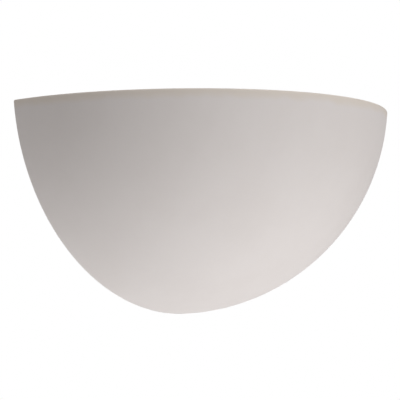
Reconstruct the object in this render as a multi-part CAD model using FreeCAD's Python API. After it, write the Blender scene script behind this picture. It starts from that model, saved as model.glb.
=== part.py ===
import FreeCAD, Part
import math
import os

from FreeCAD import Vector

# A wall uplighter: an unglazed ceramic shade, shaped as a ball cut flat at the wall and flat at its
# open top, clamped to a pressed steel bracket that also carries the lampholder and the wiring.
#
# All sizes are in millimetres. The wall is the plane Y = 0 and the light stands in front of it,
# towards -Y. +Z is up and +X is to the right. The origin is on the wall, midway between the two
# wall screws.

# Ceramic shell
SPHERE_RADIUS = 180.0
SPHERE_CENTRE_BEHIND_WALL = 5.0
RIM_BELOW_SPHERE_CENTRE = 14.0
RIM_HEIGHT = 64.0
SHELL_THICKNESS = 7.0
RIM_EDGE_RADIUS = 1.6
FLANGE_WIDTH = 12.0
FLANGE_THICKNESS = 7.0
EAR_RADIUS = 13.0
EAR_THICKNESS = 10.0
EAR_HOLE_DIAMETER = 5.5
EAR_EDGE_RADIUS = 2.0
EAR_ROOT_CLEARANCE = 3.0

# Wall bracket
BRACKET_HEIGHT = 50.0
BRACKET_DEPTH = 8.0
BRACKET_SHEET = 1.2
BRACKET_CORNER_RADIUS = 15.0
BRACKET_BEND_RADIUS = 2.4
BRACKET_END_CLEARANCE = 12.0
WALL_SLOT_SPACING = 160.0
WALL_SLOT_LENGTH = 12.0
WALL_SLOT_WIDTH = 5.0

# Cable grommet
GROMMET_BORE_DIAMETER = 10.0
GROMMET_NECK_DIAMETER = 16.0
GROMMET_FLANGE_DIAMETER = 21.0
GROMMET_FLANGE_THICKNESS = 2.0
GROMMET_FLANGE_RIM = 0.7
GROMMET_ABOVE_ORIGIN = 12.0

# Shell clamps
STUD_DIAMETER = 4.0
STUD_INSET = 13.0
STUD_HEAD_DIAMETER = 7.5
STUD_HEAD_THICKNESS = 1.2
STUD_PAST_NUT = 3.0
STUD_TIP_CHAMFER = 0.5
SEAT_WASHER_THICKNESS = 1.0
SEAT_WASHER_DIAMETER = 16.0
NUT_WASHER_THICKNESS = 1.0
NUT_WASHER_DIAMETER = 14.0
THUMB_NUT_DIAMETER = 16.0
THUMB_NUT_LENGTH = 9.0
THUMB_NUT_COLLAR_DIAMETER = 10.0
THUMB_NUT_COLLAR_LENGTH = 2.5
THUMB_NUT_FLUTES = 14
THUMB_NUT_FLUTE_RADIUS = 1.1

# Lampholder arm
ARM_WIDTH = 24.0
ARM_SHEET = 2.0
ARM_BEND_RADIUS = 4.0
ARM_TOP_BELOW_ORIGIN = 4.0
ARM_CORNER_RADIUS = 4.0
ARM_END_RADIUS = 9.0
ARM_END_PAST_LAMP_AXIS = 14.0
ARM_SCREW_SPACING = 12.0
ARM_SCREW_BELOW_ARM_TOP = 10.0

# Lamp and lampholder, on one upright axis
LAMP_AXIS_FROM_WALL = 55.0
ARM_ABOVE_BOWL = 17.3
LAMP_LENGTH = 106.0
LAMP_BULB_RADIUS = 30.0
LAMP_NECK_RADIUS = 12.4
LAMP_SHOULDER_ANGLE = 35.0
LAMP_GLASS_THICKNESS = 0.8
LAMP_CAP_RADIUS = 13.2
LAMP_CAP_SHEET = 0.4
LAMP_CAP_LENGTH = 21.4
LAMP_INSULATOR_HEIGHT = 2.4
LAMP_INSULATOR_RADIUS = 11.0
LAMP_INSULATOR_STEP = 1.0
LAMP_CONTACT_RADIUS = 4.6
LAMP_CONTACT_HEIGHT = 1.2
HOLDER_CONTACT_HEIGHT = 20.0
HOLDER_BASE_HEIGHT = 10.0
HOLDER_BASE_FLOOR = 3.0
HOLDER_HEIGHT = 47.0
HOLDER_BODY_RADIUS = 21.5
HOLDER_LIP_RADIUS = 19.5
HOLDER_FOOT_CHAMFER = 4.5
HOLDER_BASE_WALL = 4.0
HOLDER_BODY_FLOOR = 7.0
HOLDER_EDGE_RADIUS = 1.5
HOLDER_SOCKET_CLEARANCE = 0.4
SCREW_SHELL_SHEET = 0.5
SCREW_SHELL_CLEARANCE = 0.5
SCREW_SHELL_HEIGHT = 25.0
SCREW_SHELL_ABOVE_FLOOR = 2.0
JOINING_SCREW_OFFSET = 13.0
JOINING_SCREW_DIAMETER = 3.0
JOINING_SCREW_DEPTH_IN_BODY = 5.0
JOINING_BOSS_DIAMETER = 7.0
CONTACT_STRIP_SHEET = 0.6
CONTACT_STRIP_WIDTH = 5.0
CONTACT_GAP = 0.3
TERMINAL_OFFSET = 11.5
TERMINAL_POCKET_DEPTH = 3.0
TERMINAL_POCKET_LENGTH = 14.0
TERMINAL_POCKET_WIDTH = 9.0
TERMINAL_SCREW_DIAMETER = 3.0
TERMINAL_SCREW_SIDE_STEP = 1.6

# Threaded tube and its lock nuts
NIPPLE_DIAMETER = 10.0
NIPPLE_BORE_DIAMETER = 7.2
NIPPLE_PAST_NUT = 1.5
LOCK_NUT_ACROSS_FLATS = 14.0
LOCK_NUT_THICKNESS = 3.0

# Terminal block, standing on the bracket to the right of the arm
BLOCK_WAYS = 3
BLOCK_PITCH = 9.0
BLOCK_HEIGHT = 17.0
BLOCK_BASE_DEPTH = 8.0
BLOCK_DEPTH = 12.5
BLOCK_END_WALL = 3.8
BLOCK_ABOVE_ORIGIN = 2.0
BLOCK_FROM_ARM = 10.0
BLOCK_TURRET_DIAMETER = 6.4
BLOCK_SCREW_SPACING = 8.0
BLOCK_SCREW_DIAMETER = 3.2
BARREL_DIAMETER = 5.0
BARREL_BORE_DIAMETER = 3.4
BARREL_LENGTH = 15.0
BARREL_AXIS_FROM_BRACKET = 5.0

# Earth point, to the left of the arm
EARTH_FROM_CENTRE = 32.0
RING_TERMINAL_DIAMETER = 8.4
RING_TERMINAL_SHEET = 0.8
RING_TONGUE_LENGTH = 4.0
CRIMP_DIAMETER = 3.8
CRIMP_LENGTH = 7.0
SPRING_WASHER_THICKNESS = 0.8
SPRING_WASHER_DIAMETER = 8.0
EARTH_STUD_PAST_NUT = 3.0

# Screws, nuts and leads
M4_DIAMETER = 4.0
M4_HEAD_DIAMETER = 8.0
M4_HEAD_HEIGHT = 2.6
M4_NUT_ACROSS_FLATS = 7.0
M4_NUT_THICKNESS = 3.2
M3_DIAMETER = 3.0
M3_HEAD_DIAMETER = 5.6
M3_HEAD_HEIGHT = 1.8
PAN_HEAD_CROWN = 0.4
SCREW_PAST_NUT = 1.0
HOLE_CLEARANCE = 0.2
RUNNING_CLEARANCE = 0.05
LEAD_DIAMETER = 2.0
LEAD_CLEARANCE = 0.05
LEAD_BEND_SHARE = 0.45
LEAD_PAIR_SPACING = 2.6
LEAD_BELOW_NIPPLE = 7.0
LEAD_IN_BLOCK = 5.0
LEAD_FROM_BLOCK = 12.0
LAMP_LEAD_FORWARD = 8.0
LAMP_LEAD_INWARD = 9.0
LAMP_LEAD_RISE = 8.0
EARTH_LEAD_FORWARD = 8.0
EARTH_LEAD_HANG = 20.0
EARTH_LEAD_IN_CRIMP = 6.0

NEARLY_ZERO = 1e-6

X_AXIS = Vector(1, 0, 0)
Y_AXIS = Vector(0, 1, 0)
Z_AXIS = Vector(0, 0, 1)

# Places worked out from the sizes above
SPHERE_CENTRE = Vector(0, SPHERE_CENTRE_BEHIND_WALL, RIM_HEIGHT + RIM_BELOW_SPHERE_CENTRE)
INNER_RADIUS = SPHERE_RADIUS - SHELL_THICKNESS
MID_WALL_RADIUS = SPHERE_RADIUS - SHELL_THICKNESS / 2
FLANGE_INNER_RADIUS = math.sqrt(SPHERE_RADIUS**2 - SPHERE_CENTRE_BEHIND_WALL**2) - FLANGE_WIDTH
BRACKET_FRONT_Y = -BRACKET_DEPTH
BRACKET_INSIDE_Y = BRACKET_FRONT_Y + BRACKET_SHEET
BRACKET_SIDE_DROP = SPHERE_CENTRE.z + BRACKET_HEIGHT / 2 - BRACKET_CORNER_RADIUS
BRACKET_HALF_LENGTH = (
    math.sqrt(FLANGE_INNER_RADIUS**2 - BRACKET_SIDE_DROP**2) - BRACKET_END_CLEARANCE
)
STUD_X = BRACKET_HALF_LENGTH - STUD_INSET
EAR_BACK_Y = BRACKET_FRONT_Y - SEAT_WASHER_THICKNESS
EAR_FRONT_Y = EAR_BACK_Y - EAR_THICKNESS
NUT_SEAT_Y = EAR_FRONT_Y - NUT_WASHER_THICKNESS

LAMP_Y = -LAMP_AXIS_FROM_WALL
BOWL_FLOOR_DROP = math.sqrt(INNER_RADIUS**2 - (SPHERE_CENTRE.y - LAMP_Y) ** 2)
BOWL_FLOOR_Z = SPHERE_CENTRE.z - BOWL_FLOOR_DROP
ARM_FRONT_Y = BRACKET_FRONT_Y - ARM_SHEET
ARM_BOTTOM_Z = BOWL_FLOOR_Z + ARM_ABOVE_BOWL
ARM_TOP_Z = ARM_BOTTOM_Z + ARM_SHEET
LAMP_CONTACT_Z = ARM_TOP_Z + HOLDER_CONTACT_HEIGHT
LAMP_CAP_Z = LAMP_CONTACT_Z + LAMP_CONTACT_HEIGHT + LAMP_INSULATOR_HEIGHT
LAMP_TOP_Z = LAMP_CONTACT_Z + LAMP_LENGTH
HOLDER_SPLIT_Z = ARM_TOP_Z + HOLDER_BASE_HEIGHT
HOLDER_FLOOR_Z = HOLDER_SPLIT_Z + HOLDER_BODY_FLOOR
HOLDER_TOP_Z = ARM_TOP_Z + HOLDER_HEIGHT
SCREW_SHELL_INNER_RADIUS = LAMP_CAP_RADIUS + SCREW_SHELL_CLEARANCE
SCREW_SHELL_OUTER_RADIUS = SCREW_SHELL_INNER_RADIUS + SCREW_SHELL_SHEET
HOLDER_SOCKET_RADIUS = SCREW_SHELL_OUTER_RADIUS + HOLDER_SOCKET_CLEARANCE
SCREW_SHELL_Z = HOLDER_FLOOR_Z + SCREW_SHELL_ABOVE_FLOOR
TERMINAL_PLATE_Z = HOLDER_SPLIT_Z + TERMINAL_POCKET_DEPTH
TERMINAL_LEAD_Z = TERMINAL_PLATE_Z - CONTACT_STRIP_SHEET - LEAD_DIAMETER / 2 - LEAD_CLEARANCE
TERMINAL_HEAD_Z = TERMINAL_LEAD_Z - LEAD_DIAMETER / 2 - LEAD_CLEARANCE
UPPER_NUT_Z = ARM_TOP_Z + HOLDER_BASE_FLOOR
NIPPLE_TOP_Z = UPPER_NUT_Z + LOCK_NUT_THICKNESS
LOWER_NUT_Z = ARM_BOTTOM_Z - LOCK_NUT_THICKNESS
NIPPLE_BOTTOM_Z = LOWER_NUT_Z - NIPPLE_PAST_NUT
LEAD_LOW_Z = NIPPLE_BOTTOM_Z - LEAD_BELOW_NIPPLE

ARM_LEG_TOP_Z = -ARM_TOP_BELOW_ORIGIN
ARM_SCREW_Z = ARM_LEG_TOP_Z - ARM_SCREW_BELOW_ARM_TOP
BLOCK_LENGTH = (BLOCK_WAYS - 1) * BLOCK_PITCH + 2 * BLOCK_END_WALL
BLOCK_LEFT_X = ARM_WIDTH / 2 + BLOCK_FROM_ARM
BLOCK_X = BLOCK_LEFT_X + BLOCK_LENGTH / 2
BLOCK_BOTTOM_Z = BLOCK_ABOVE_ORIGIN - BLOCK_HEIGHT / 2
BLOCK_BASE_FRONT_Y = BRACKET_FRONT_Y - BLOCK_BASE_DEPTH
BLOCK_FRONT_Y = BRACKET_FRONT_Y - BLOCK_DEPTH
BARREL_Y = BRACKET_FRONT_Y - BARREL_AXIS_FROM_BRACKET
WAY_X = [BLOCK_LEFT_X + BLOCK_END_WALL + BLOCK_PITCH * way for way in range(BLOCK_WAYS)]
RING_FRONT_Y = BRACKET_FRONT_Y - RING_TERMINAL_SHEET
EARTH_NUT_Y = RING_FRONT_Y - SPRING_WASHER_THICKNESS
CRIMP_Y = BRACKET_FRONT_Y - CRIMP_DIAMETER / 2
CRIMP_TOP_Z = -RING_TERMINAL_DIAMETER / 2 - RING_TONGUE_LENGTH / 2
CRIMP_BOTTOM_Z = CRIMP_TOP_Z - CRIMP_LENGTH


def box(low, high):
    """A box between two opposite corners."""
    size = high - low
    return Part.makeBox(size.x, size.y, size.z, low)


def rod(diameter, start, direction, length):
    """A cylinder from a point on its axis."""
    return Part.makeCylinder(diameter / 2, length, start, direction)


def tube(outer_diameter, inner_diameter, start, direction, length):
    """A straight tube from a point on its axis."""
    outer = rod(outer_diameter, start, direction, length)
    return outer.cut(rod(inner_diameter, start, direction, length))


def arc(first, middle, last):
    """The arc edge through three points."""
    return Part.Arc(first, middle, last).toShape()


def line(first, last):
    """The straight edge between two points."""
    return Part.makeLine(first, last)


def turned(points, axis_point, axis=Z_AXIS):
    """A solid turned from a polygon of points that lie on one side of the axis."""
    wire = Part.makePolygon(points + [points[0]])
    return Part.Face(wire).revolve(axis_point, axis, 360)


def lamp_point(radius, z):
    """A point beside the lamp's upright axis."""
    return Vector(radius, LAMP_Y, z)


def on_lamp_axis(z):
    """A point on the lamp's upright axis."""
    return Vector(0, LAMP_Y, z)


def mirrored(shape):
    """The same piece on the left-hand side."""
    return shape.mirror(Vector(0, 0, 0), X_AXIS)


def hexagon_nut(across_flats, thickness, bore_diameter, start, direction):
    """A plain hexagon nut that starts at a point and grows along a direction."""
    corner_radius = across_flats / math.sqrt(3)
    corners = []
    for corner in range(7):
        angle = math.radians(60 * corner)
        corners.append(Vector(corner_radius * math.cos(angle), corner_radius * math.sin(angle), 0))
    prism = Part.Face(Part.makePolygon(corners)).extrude(Vector(0, 0, thickness))
    prism.Placement = FreeCAD.Placement(start, FreeCAD.Rotation(Z_AXIS, direction))
    return prism.cut(rod(bore_diameter, start, direction, thickness))


def pan_screw(diameter, head_diameter, head_height, under_head, direction, length):
    """A pan-head screw; its shank runs along the direction from under the head."""
    shank = rod(diameter, under_head, direction, length)
    head = rod(head_diameter, under_head, direction * -1, head_height)
    crown = [edge for edge in head.Edges if is_flat_at(edge, under_head - direction * head_height)]
    head = head.makeChamfer(head_height * PAN_HEAD_CROWN, crown)
    return head.fuse(shank).removeSplitter()


def is_flat_at(edge, centre):
    """True for a circular edge about a centre point."""
    is_circle = isinstance(edge.Curve, Part.Circle)
    return is_circle and edge.Curve.Center.distanceToPoint(centre) < NEARLY_ZERO


def runs_along(edge, axis):
    """True for an edge that starts parallel to an axis."""
    return edge.tangentAt(0).isParallel(axis, NEARLY_ZERO)


def bent_strip(path, thickness, width):
    """A flat strip of one thickness that follows straight runs in a plane of constant X.

    The path is the strip's centre line as (y, z) pairs. The strip is centred on X = 0.
    """
    left_side = []
    right_side = []
    for index, here in enumerate(path):
        before = path[max(index - 1, 0)]
        after = path[min(index + 1, len(path) - 1)]
        in_run = unit(here[0] - before[0], here[1] - before[1])
        out_run = unit(after[0] - here[0], after[1] - here[1])
        in_run = in_run or out_run
        out_run = out_run or in_run
        side = unit(-(in_run[1] + out_run[1]), in_run[0] + out_run[0])
        reach = thickness / 2 / (side[0] * -in_run[1] + side[1] * in_run[0])
        left_side.append(Vector(-width / 2, here[0] + side[0] * reach, here[1] + side[1] * reach))
        right_side.append(Vector(-width / 2, here[0] - side[0] * reach, here[1] - side[1] * reach))
    outline = left_side + right_side[::-1]
    face = Part.Face(Part.makePolygon(outline + [outline[0]]))
    return face.extrude(Vector(width, 0, 0))


def unit(along, up):
    """The unit vector of a pair, or None where it has no length."""
    length = math.hypot(along, up)
    return (along / length, up / length) if length else None


def fillet_where(shape, radius, belongs):
    """Round the edges that satisfy a test; a ball's pole counts as no edge."""
    edges = [edge for edge in shape.Edges if not edge.Degenerated and belongs(edge)]
    return shape.makeFillet(radius, edges)


def lead(points, name):
    """A round lead along straight runs that are joined by tangent arcs."""
    edges = []
    position = points[0]
    radii = []
    for corner_index in range(1, len(points) - 1):
        corner = points[corner_index]
        into = corner - points[corner_index - 1]
        out_of = points[corner_index + 1] - corner
        half_turn = into.getAngle(out_of) / 2
        set_back = LEAD_BEND_SHARE * min(into.Length, out_of.Length)
        radii.append(set_back / math.tan(half_turn))
        into.normalize()
        out_of.normalize()
        start = corner - into * set_back
        end = corner + out_of * set_back
        towards_centre = out_of - into
        towards_centre.normalize()
        sagitta = radii[-1] / math.cos(half_turn) - radii[-1]
        edges.append(line(position, start))
        edges.append(arc(start, corner + towards_centre * sagitta, end))
        position = end
    edges.append(line(position, points[-1]))
    path = Part.Wire(edges)
    section = Part.makeCircle(LEAD_DIAMETER / 2, points[0], points[1] - points[0])
    solid = path.makePipe(Part.Face(Part.Wire(section)))
    print(name, "length", round(path.Length, 1), "bend radii", [round(radius, 1) for radius in radii])
    return solid


# Ceramic shell


def ball(radius):
    """A ball about the sphere's centre, whose poles lie well away from the rim and the wall."""
    return Part.makeSphere(radius, SPHERE_CENTRE, -Y_AXIS - Z_AXIS)


def rim_edge_cutter(centre_radius, side_radius):
    """The ring that is cut off the rim to round one of its two edges.

    The round's own centre lies centre_radius from the sphere's centre, and the round runs from the
    ball of side_radius to the flat rim.
    """
    centre_z = RIM_HEIGHT - RIM_EDGE_RADIUS
    drop = SPHERE_CENTRE.z - centre_z
    centre = Vector(math.sqrt(centre_radius**2 - drop**2), SPHERE_CENTRE.y, centre_z)
    to_ball = (centre - SPHERE_CENTRE) * (side_radius - centre_radius)
    to_ball.normalize()
    halfway = to_ball + Z_AXIS
    corner = centre + halfway * 2 * RIM_EDGE_RADIUS
    halfway.normalize()
    on_ball = centre + to_ball * RIM_EDGE_RADIUS
    on_rim = centre + Z_AXIS * RIM_EDGE_RADIUS
    past_ball = centre + to_ball * 2 * RIM_EDGE_RADIUS
    past_rim = centre + Z_AXIS * 2 * RIM_EDGE_RADIUS
    edges = [
        arc(on_ball, centre + halfway * RIM_EDGE_RADIUS, on_rim),
        line(on_rim, past_rim),
        line(past_rim, corner),
        line(corner, past_ball),
        line(past_ball, on_ball),
    ]
    return Part.Face(Part.Wire(edges)).revolve(SPHERE_CENTRE, Z_AXIS, 360)


def bowl():
    """The whole round bowl, open at the top, with both edges of its rim rounded."""
    above_rim = box(
        Vector(-2 * SPHERE_RADIUS, -2 * SPHERE_RADIUS, RIM_HEIGHT),
        Vector(2 * SPHERE_RADIUS, 2 * SPHERE_RADIUS, SPHERE_CENTRE.z + 2 * SPHERE_RADIUS),
    )
    outer_edge = rim_edge_cutter(SPHERE_RADIUS - RIM_EDGE_RADIUS, SPHERE_RADIUS)
    inner_edge = rim_edge_cutter(INNER_RADIUS + RIM_EDGE_RADIUS, INNER_RADIUS)
    return ball(SPHERE_RADIUS).cut([ball(INNER_RADIUS), above_rim, outer_edge, inner_edge])


def back_flange():
    """The return flange that lies against the wall, left, right and below."""
    slab = box(
        Vector(-SPHERE_RADIUS, -FLANGE_THICKNESS, SPHERE_CENTRE.z - SPHERE_RADIUS),
        Vector(SPHERE_RADIUS, 0, RIM_HEIGHT - RIM_EDGE_RADIUS),
    )
    window_start = SPHERE_CENTRE - Y_AXIS * SPHERE_RADIUS
    window = rod(2 * FLANGE_INNER_RADIUS, window_start, Y_AXIS, 2 * SPHERE_RADIUS)
    return slab.common(ball(MID_WALL_RADIUS)).cut(window)


def right_ear():
    """The ear inside the right wall that the right-hand stud passes through."""
    round_end = rod(2 * EAR_RADIUS, Vector(STUD_X, EAR_FRONT_Y, 0), Y_AXIS, EAR_THICKNESS)
    tongue = box(
        Vector(STUD_X, EAR_FRONT_Y, -EAR_RADIUS),
        Vector(SPHERE_RADIUS, EAR_BACK_Y, EAR_RADIUS),
    )
    root_x = BRACKET_HALF_LENGTH + EAR_ROOT_CLEARANCE
    root = box(
        Vector(root_x, EAR_FRONT_Y, -EAR_RADIUS),
        Vector(SPHERE_RADIUS, -FLANGE_THICKNESS / 2, EAR_RADIUS),
    )
    ear = round_end.fuse([tongue, root]).removeSplitter()
    ear = fillet_where(ear, EAR_EDGE_RADIUS, lambda edge: (
        edge.BoundBox.YMax < EAR_FRONT_Y + NEARLY_ZERO and edge.BoundBox.XMin < SPHERE_RADIUS - NEARLY_ZERO
    ))
    ear = ear.common(ball(MID_WALL_RADIUS))
    hole = rod(EAR_HOLE_DIAMETER, Vector(STUD_X, EAR_FRONT_Y, 0), Y_AXIS, EAR_THICKNESS)
    return ear.cut(hole)


def ceramic_shell():
    """The cut ball with its back flange and its two ears, as one cast piece."""
    in_front_of_wall = box(
        Vector(-2 * SPHERE_RADIUS, -2 * SPHERE_RADIUS, -2 * SPHERE_RADIUS),
        Vector(2 * SPHERE_RADIUS, 0, 2 * SPHERE_RADIUS),
    )
    ear = right_ear()
    cut_bowl = bowl().common(in_front_of_wall)
    return cut_bowl.fuse([back_flange(), ear, mirrored(ear)]).removeSplitter()


# Wall bracket


def rounded_slab(half_length, half_height, corner_radius, front_y, back_y):
    """A slab parallel to the wall with rounded corners, centred on the origin."""
    block = box(
        Vector(-half_length, front_y, -half_height),
        Vector(half_length, back_y, half_height),
    )
    return fillet_where(block, corner_radius, lambda edge: runs_along(edge, Y_AXIS))


def dished_slab(half_length, half_height, corner_radius, front_y, edge_radius):
    """A rounded slab from the wall forwards, with its front edge rounded as a sheet is bent."""
    slab = rounded_slab(half_length, half_height, corner_radius, front_y, 0)
    return fillet_where(slab, edge_radius, lambda edge: abs(edge.BoundBox.YMax - front_y) < NEARLY_ZERO)


def wall_slot(centre_x):
    """The cutter of one slotted wall screw hole."""
    half_travel = (WALL_SLOT_LENGTH - WALL_SLOT_WIDTH) / 2
    middle = box(
        Vector(centre_x - half_travel, BRACKET_FRONT_Y, -WALL_SLOT_WIDTH / 2),
        Vector(centre_x + half_travel, 0, WALL_SLOT_WIDTH / 2),
    )
    ends = []
    for end_x in (centre_x - half_travel, centre_x + half_travel):
        ends.append(rod(WALL_SLOT_WIDTH, Vector(end_x, BRACKET_FRONT_Y, 0), Y_AXIS, BRACKET_DEPTH))
    return middle.fuse(ends)


def bracket_hole(diameter, x, z):
    """The cutter of a round hole through the bracket's front."""
    return rod(diameter, Vector(x, BRACKET_FRONT_Y, z), Y_AXIS, BRACKET_SHEET)


def block_screw_x():
    """The places of the terminal block's two fixing screws, between its ways."""
    return [(WAY_X[0] + WAY_X[1]) / 2, (WAY_X[-2] + WAY_X[-1]) / 2]


def wall_bracket():
    """The pressed steel dish that is screwed to the wall."""
    outside = dished_slab(
        BRACKET_HALF_LENGTH, BRACKET_HEIGHT / 2, BRACKET_CORNER_RADIUS, BRACKET_FRONT_Y,
        BRACKET_BEND_RADIUS,
    )
    inside = dished_slab(
        BRACKET_HALF_LENGTH - BRACKET_SHEET, BRACKET_HEIGHT / 2 - BRACKET_SHEET,
        BRACKET_CORNER_RADIUS - BRACKET_SHEET, BRACKET_INSIDE_Y, BRACKET_BEND_RADIUS - BRACKET_SHEET,
    )
    cutters = [
        wall_slot(-WALL_SLOT_SPACING / 2),
        wall_slot(WALL_SLOT_SPACING / 2),
        bracket_hole(GROMMET_NECK_DIAMETER, 0, GROMMET_ABOVE_ORIGIN),
        bracket_hole(STUD_DIAMETER, STUD_X, 0),
        bracket_hole(STUD_DIAMETER, -STUD_X, 0),
        bracket_hole(M4_DIAMETER, -EARTH_FROM_CENTRE, 0),
    ]
    for screw_x in arm_screw_x():
        cutters.append(bracket_hole(M4_DIAMETER + HOLE_CLEARANCE, screw_x, ARM_SCREW_Z))
    for screw_x in block_screw_x():
        cutters.append(bracket_hole(M3_DIAMETER, screw_x, BLOCK_ABOVE_ORIGIN))
    return outside.cut([inside] + cutters)


def cable_grommet():
    """The rubber grommet that the supply cable comes through."""
    bore = GROMMET_BORE_DIAMETER / 2
    neck = GROMMET_NECK_DIAMETER / 2
    flange = GROMMET_FLANGE_DIAMETER / 2
    front = BRACKET_FRONT_Y - GROMMET_FLANGE_THICKNESS
    back = BRACKET_INSIDE_Y + GROMMET_FLANGE_THICKNESS
    profile = [
        (bore, front), (neck, front), (flange, BRACKET_FRONT_Y - GROMMET_FLANGE_RIM),
        (flange, BRACKET_FRONT_Y), (neck, BRACKET_FRONT_Y), (neck, BRACKET_INSIDE_Y),
        (flange, BRACKET_INSIDE_Y), (flange, BRACKET_INSIDE_Y + GROMMET_FLANGE_RIM),
        (neck, back), (bore, back),
    ]
    points = [Vector(radius, y, GROMMET_ABOVE_ORIGIN) for radius, y in profile]
    return turned(points, Vector(0, 0, GROMMET_ABOVE_ORIGIN), Y_AXIS)


# Shell clamps


def clamp_stud():
    """The stud pressed into the bracket that carries the shell's right ear."""
    tip_y = NUT_SEAT_Y - THUMB_NUT_LENGTH - STUD_PAST_NUT
    head = rod(STUD_HEAD_DIAMETER, Vector(STUD_X, BRACKET_INSIDE_Y, 0), Y_AXIS, STUD_HEAD_THICKNESS)
    shank = rod(STUD_DIAMETER, Vector(STUD_X, tip_y, 0), Y_AXIS, BRACKET_INSIDE_Y - tip_y)
    tip = [edge for edge in shank.Edges if is_flat_at(edge, Vector(STUD_X, tip_y, 0))]
    shank = shank.makeChamfer(STUD_TIP_CHAMFER, tip)
    return head.fuse(shank).removeSplitter()


def seat_washer():
    """The rubber washer between the bracket and the right ear."""
    start = Vector(STUD_X, EAR_BACK_Y, 0)
    bore = STUD_DIAMETER + HOLE_CLEARANCE
    return tube(SEAT_WASHER_DIAMETER, bore, start, Y_AXIS, SEAT_WASHER_THICKNESS)


def nut_washer():
    """The fibre washer between the right ear and its thumb nut."""
    start = Vector(STUD_X, NUT_SEAT_Y, 0)
    bore = STUD_DIAMETER + HOLE_CLEARANCE
    return tube(NUT_WASHER_DIAMETER, bore, start, Y_AXIS, NUT_WASHER_THICKNESS)


def thumb_nut():
    """The fluted brass nut that is turned by hand on the right-hand stud."""
    front_y = NUT_SEAT_Y - THUMB_NUT_LENGTH
    collar_y = NUT_SEAT_Y - THUMB_NUT_COLLAR_LENGTH
    collar = rod(
        THUMB_NUT_COLLAR_DIAMETER, Vector(STUD_X, collar_y, 0), Y_AXIS, THUMB_NUT_COLLAR_LENGTH
    )
    grip = rod(THUMB_NUT_DIAMETER, Vector(STUD_X, front_y, 0), Y_AXIS, collar_y - front_y)
    flutes = []
    for flute in range(THUMB_NUT_FLUTES):
        angle = 2 * math.pi * flute / THUMB_NUT_FLUTES
        reach = THUMB_NUT_DIAMETER / 2
        place = Vector(STUD_X + reach * math.cos(angle), front_y, reach * math.sin(angle))
        flutes.append(rod(2 * THUMB_NUT_FLUTE_RADIUS, place, Y_AXIS, collar_y - front_y))
    bore = rod(
        STUD_DIAMETER + 2 * RUNNING_CLEARANCE, Vector(STUD_X, front_y, 0), Y_AXIS, THUMB_NUT_LENGTH
    )
    return grip.cut(flutes).fuse(collar).cut(bore)


# Lampholder arm


def arm_screw_x():
    """The places of the two screws that hold the arm to the bracket."""
    return [-ARM_SCREW_SPACING / 2, ARM_SCREW_SPACING / 2]


def lampholder_arm():
    """The bent strip that stands out from the bracket and carries the lampholder."""
    leg_y = BRACKET_FRONT_Y - ARM_SHEET / 2
    foot_z = ARM_TOP_Z - ARM_SHEET / 2
    end_y = LAMP_Y - ARM_END_PAST_LAMP_AXIS
    strip = bent_strip(
        [(leg_y, ARM_LEG_TOP_Z), (leg_y, foot_z), (end_y, foot_z)], ARM_SHEET, ARM_WIDTH
    )
    strip = fillet_where(strip, ARM_CORNER_RADIUS, lambda edge: (
        runs_along(edge, Y_AXIS) and edge.BoundBox.ZMin > ARM_LEG_TOP_Z - NEARLY_ZERO
    ))
    strip = fillet_where(strip, ARM_END_RADIUS, lambda edge: (
        runs_along(edge, Z_AXIS) and edge.BoundBox.YMax < end_y + NEARLY_ZERO
    ))
    strip = fillet_where(strip, ARM_BEND_RADIUS - ARM_SHEET, lambda edge: (
        is_bend(edge, ARM_FRONT_Y, ARM_TOP_Z)
    ))
    strip = fillet_where(strip, ARM_BEND_RADIUS, lambda edge: (
        is_bend(edge, BRACKET_FRONT_Y, ARM_BOTTOM_Z)
    ))
    holes = [rod(NIPPLE_DIAMETER + HOLE_CLEARANCE, on_lamp_axis(ARM_BOTTOM_Z), Z_AXIS, ARM_SHEET)]
    for screw_x in arm_screw_x():
        start = Vector(screw_x, ARM_FRONT_Y, ARM_SCREW_Z)
        holes.append(rod(M4_DIAMETER + HOLE_CLEARANCE, start, Y_AXIS, ARM_SHEET))
    return strip.cut(holes)


def is_bend(edge, y, z):
    """True for an edge along X at the given place."""
    middle = edge.CenterOfMass
    is_in_place = math.hypot(middle.y - y, middle.z - z) < NEARLY_ZERO
    return is_in_place and runs_along(edge, X_AXIS)


def arm_screws():
    """The two screws that hold the arm to the bracket, as one group."""
    length = ARM_SHEET + BRACKET_SHEET + M4_NUT_THICKNESS + SCREW_PAST_NUT
    screws = []
    for screw_x in arm_screw_x():
        under_head = Vector(screw_x, ARM_FRONT_Y, ARM_SCREW_Z)
        screws.append(
            pan_screw(M4_DIAMETER, M4_HEAD_DIAMETER, M4_HEAD_HEIGHT, under_head, Y_AXIS, length)
        )
    return Part.makeCompound(screws)


def arm_nuts():
    """The two nuts of the arm's screws, inside the bracket, as one group."""
    nuts = []
    for screw_x in arm_screw_x():
        start = Vector(screw_x, BRACKET_INSIDE_Y, ARM_SCREW_Z)
        nuts.append(
            hexagon_nut(M4_NUT_ACROSS_FLATS, M4_NUT_THICKNESS, M4_DIAMETER, start, Y_AXIS)
        )
    return Part.makeCompound(nuts)


def threaded_tube():
    """The hollow threaded tube that joins the lampholder to the arm and lets the leads through."""
    length = NIPPLE_TOP_Z - NIPPLE_BOTTOM_Z
    return tube(NIPPLE_DIAMETER, NIPPLE_BORE_DIAMETER, on_lamp_axis(NIPPLE_BOTTOM_Z), Z_AXIS, length)


def lock_nuts():
    """The two nuts on the threaded tube: inside the lampholder's base and under the arm."""
    nuts = []
    for start_z in (UPPER_NUT_Z, LOWER_NUT_Z):
        nuts.append(
            hexagon_nut(
                LOCK_NUT_ACROSS_FLATS, LOCK_NUT_THICKNESS, NIPPLE_DIAMETER, on_lamp_axis(start_z),
                Z_AXIS,
            )
        )
    return Part.makeCompound(nuts)


# Lampholder


def joining_screw_places(z):
    """The axes of the two screws that join the lampholder's base and body."""
    return [
        Vector(0, LAMP_Y - JOINING_SCREW_OFFSET, z),
        Vector(0, LAMP_Y + JOINING_SCREW_OFFSET, z),
    ]


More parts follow.
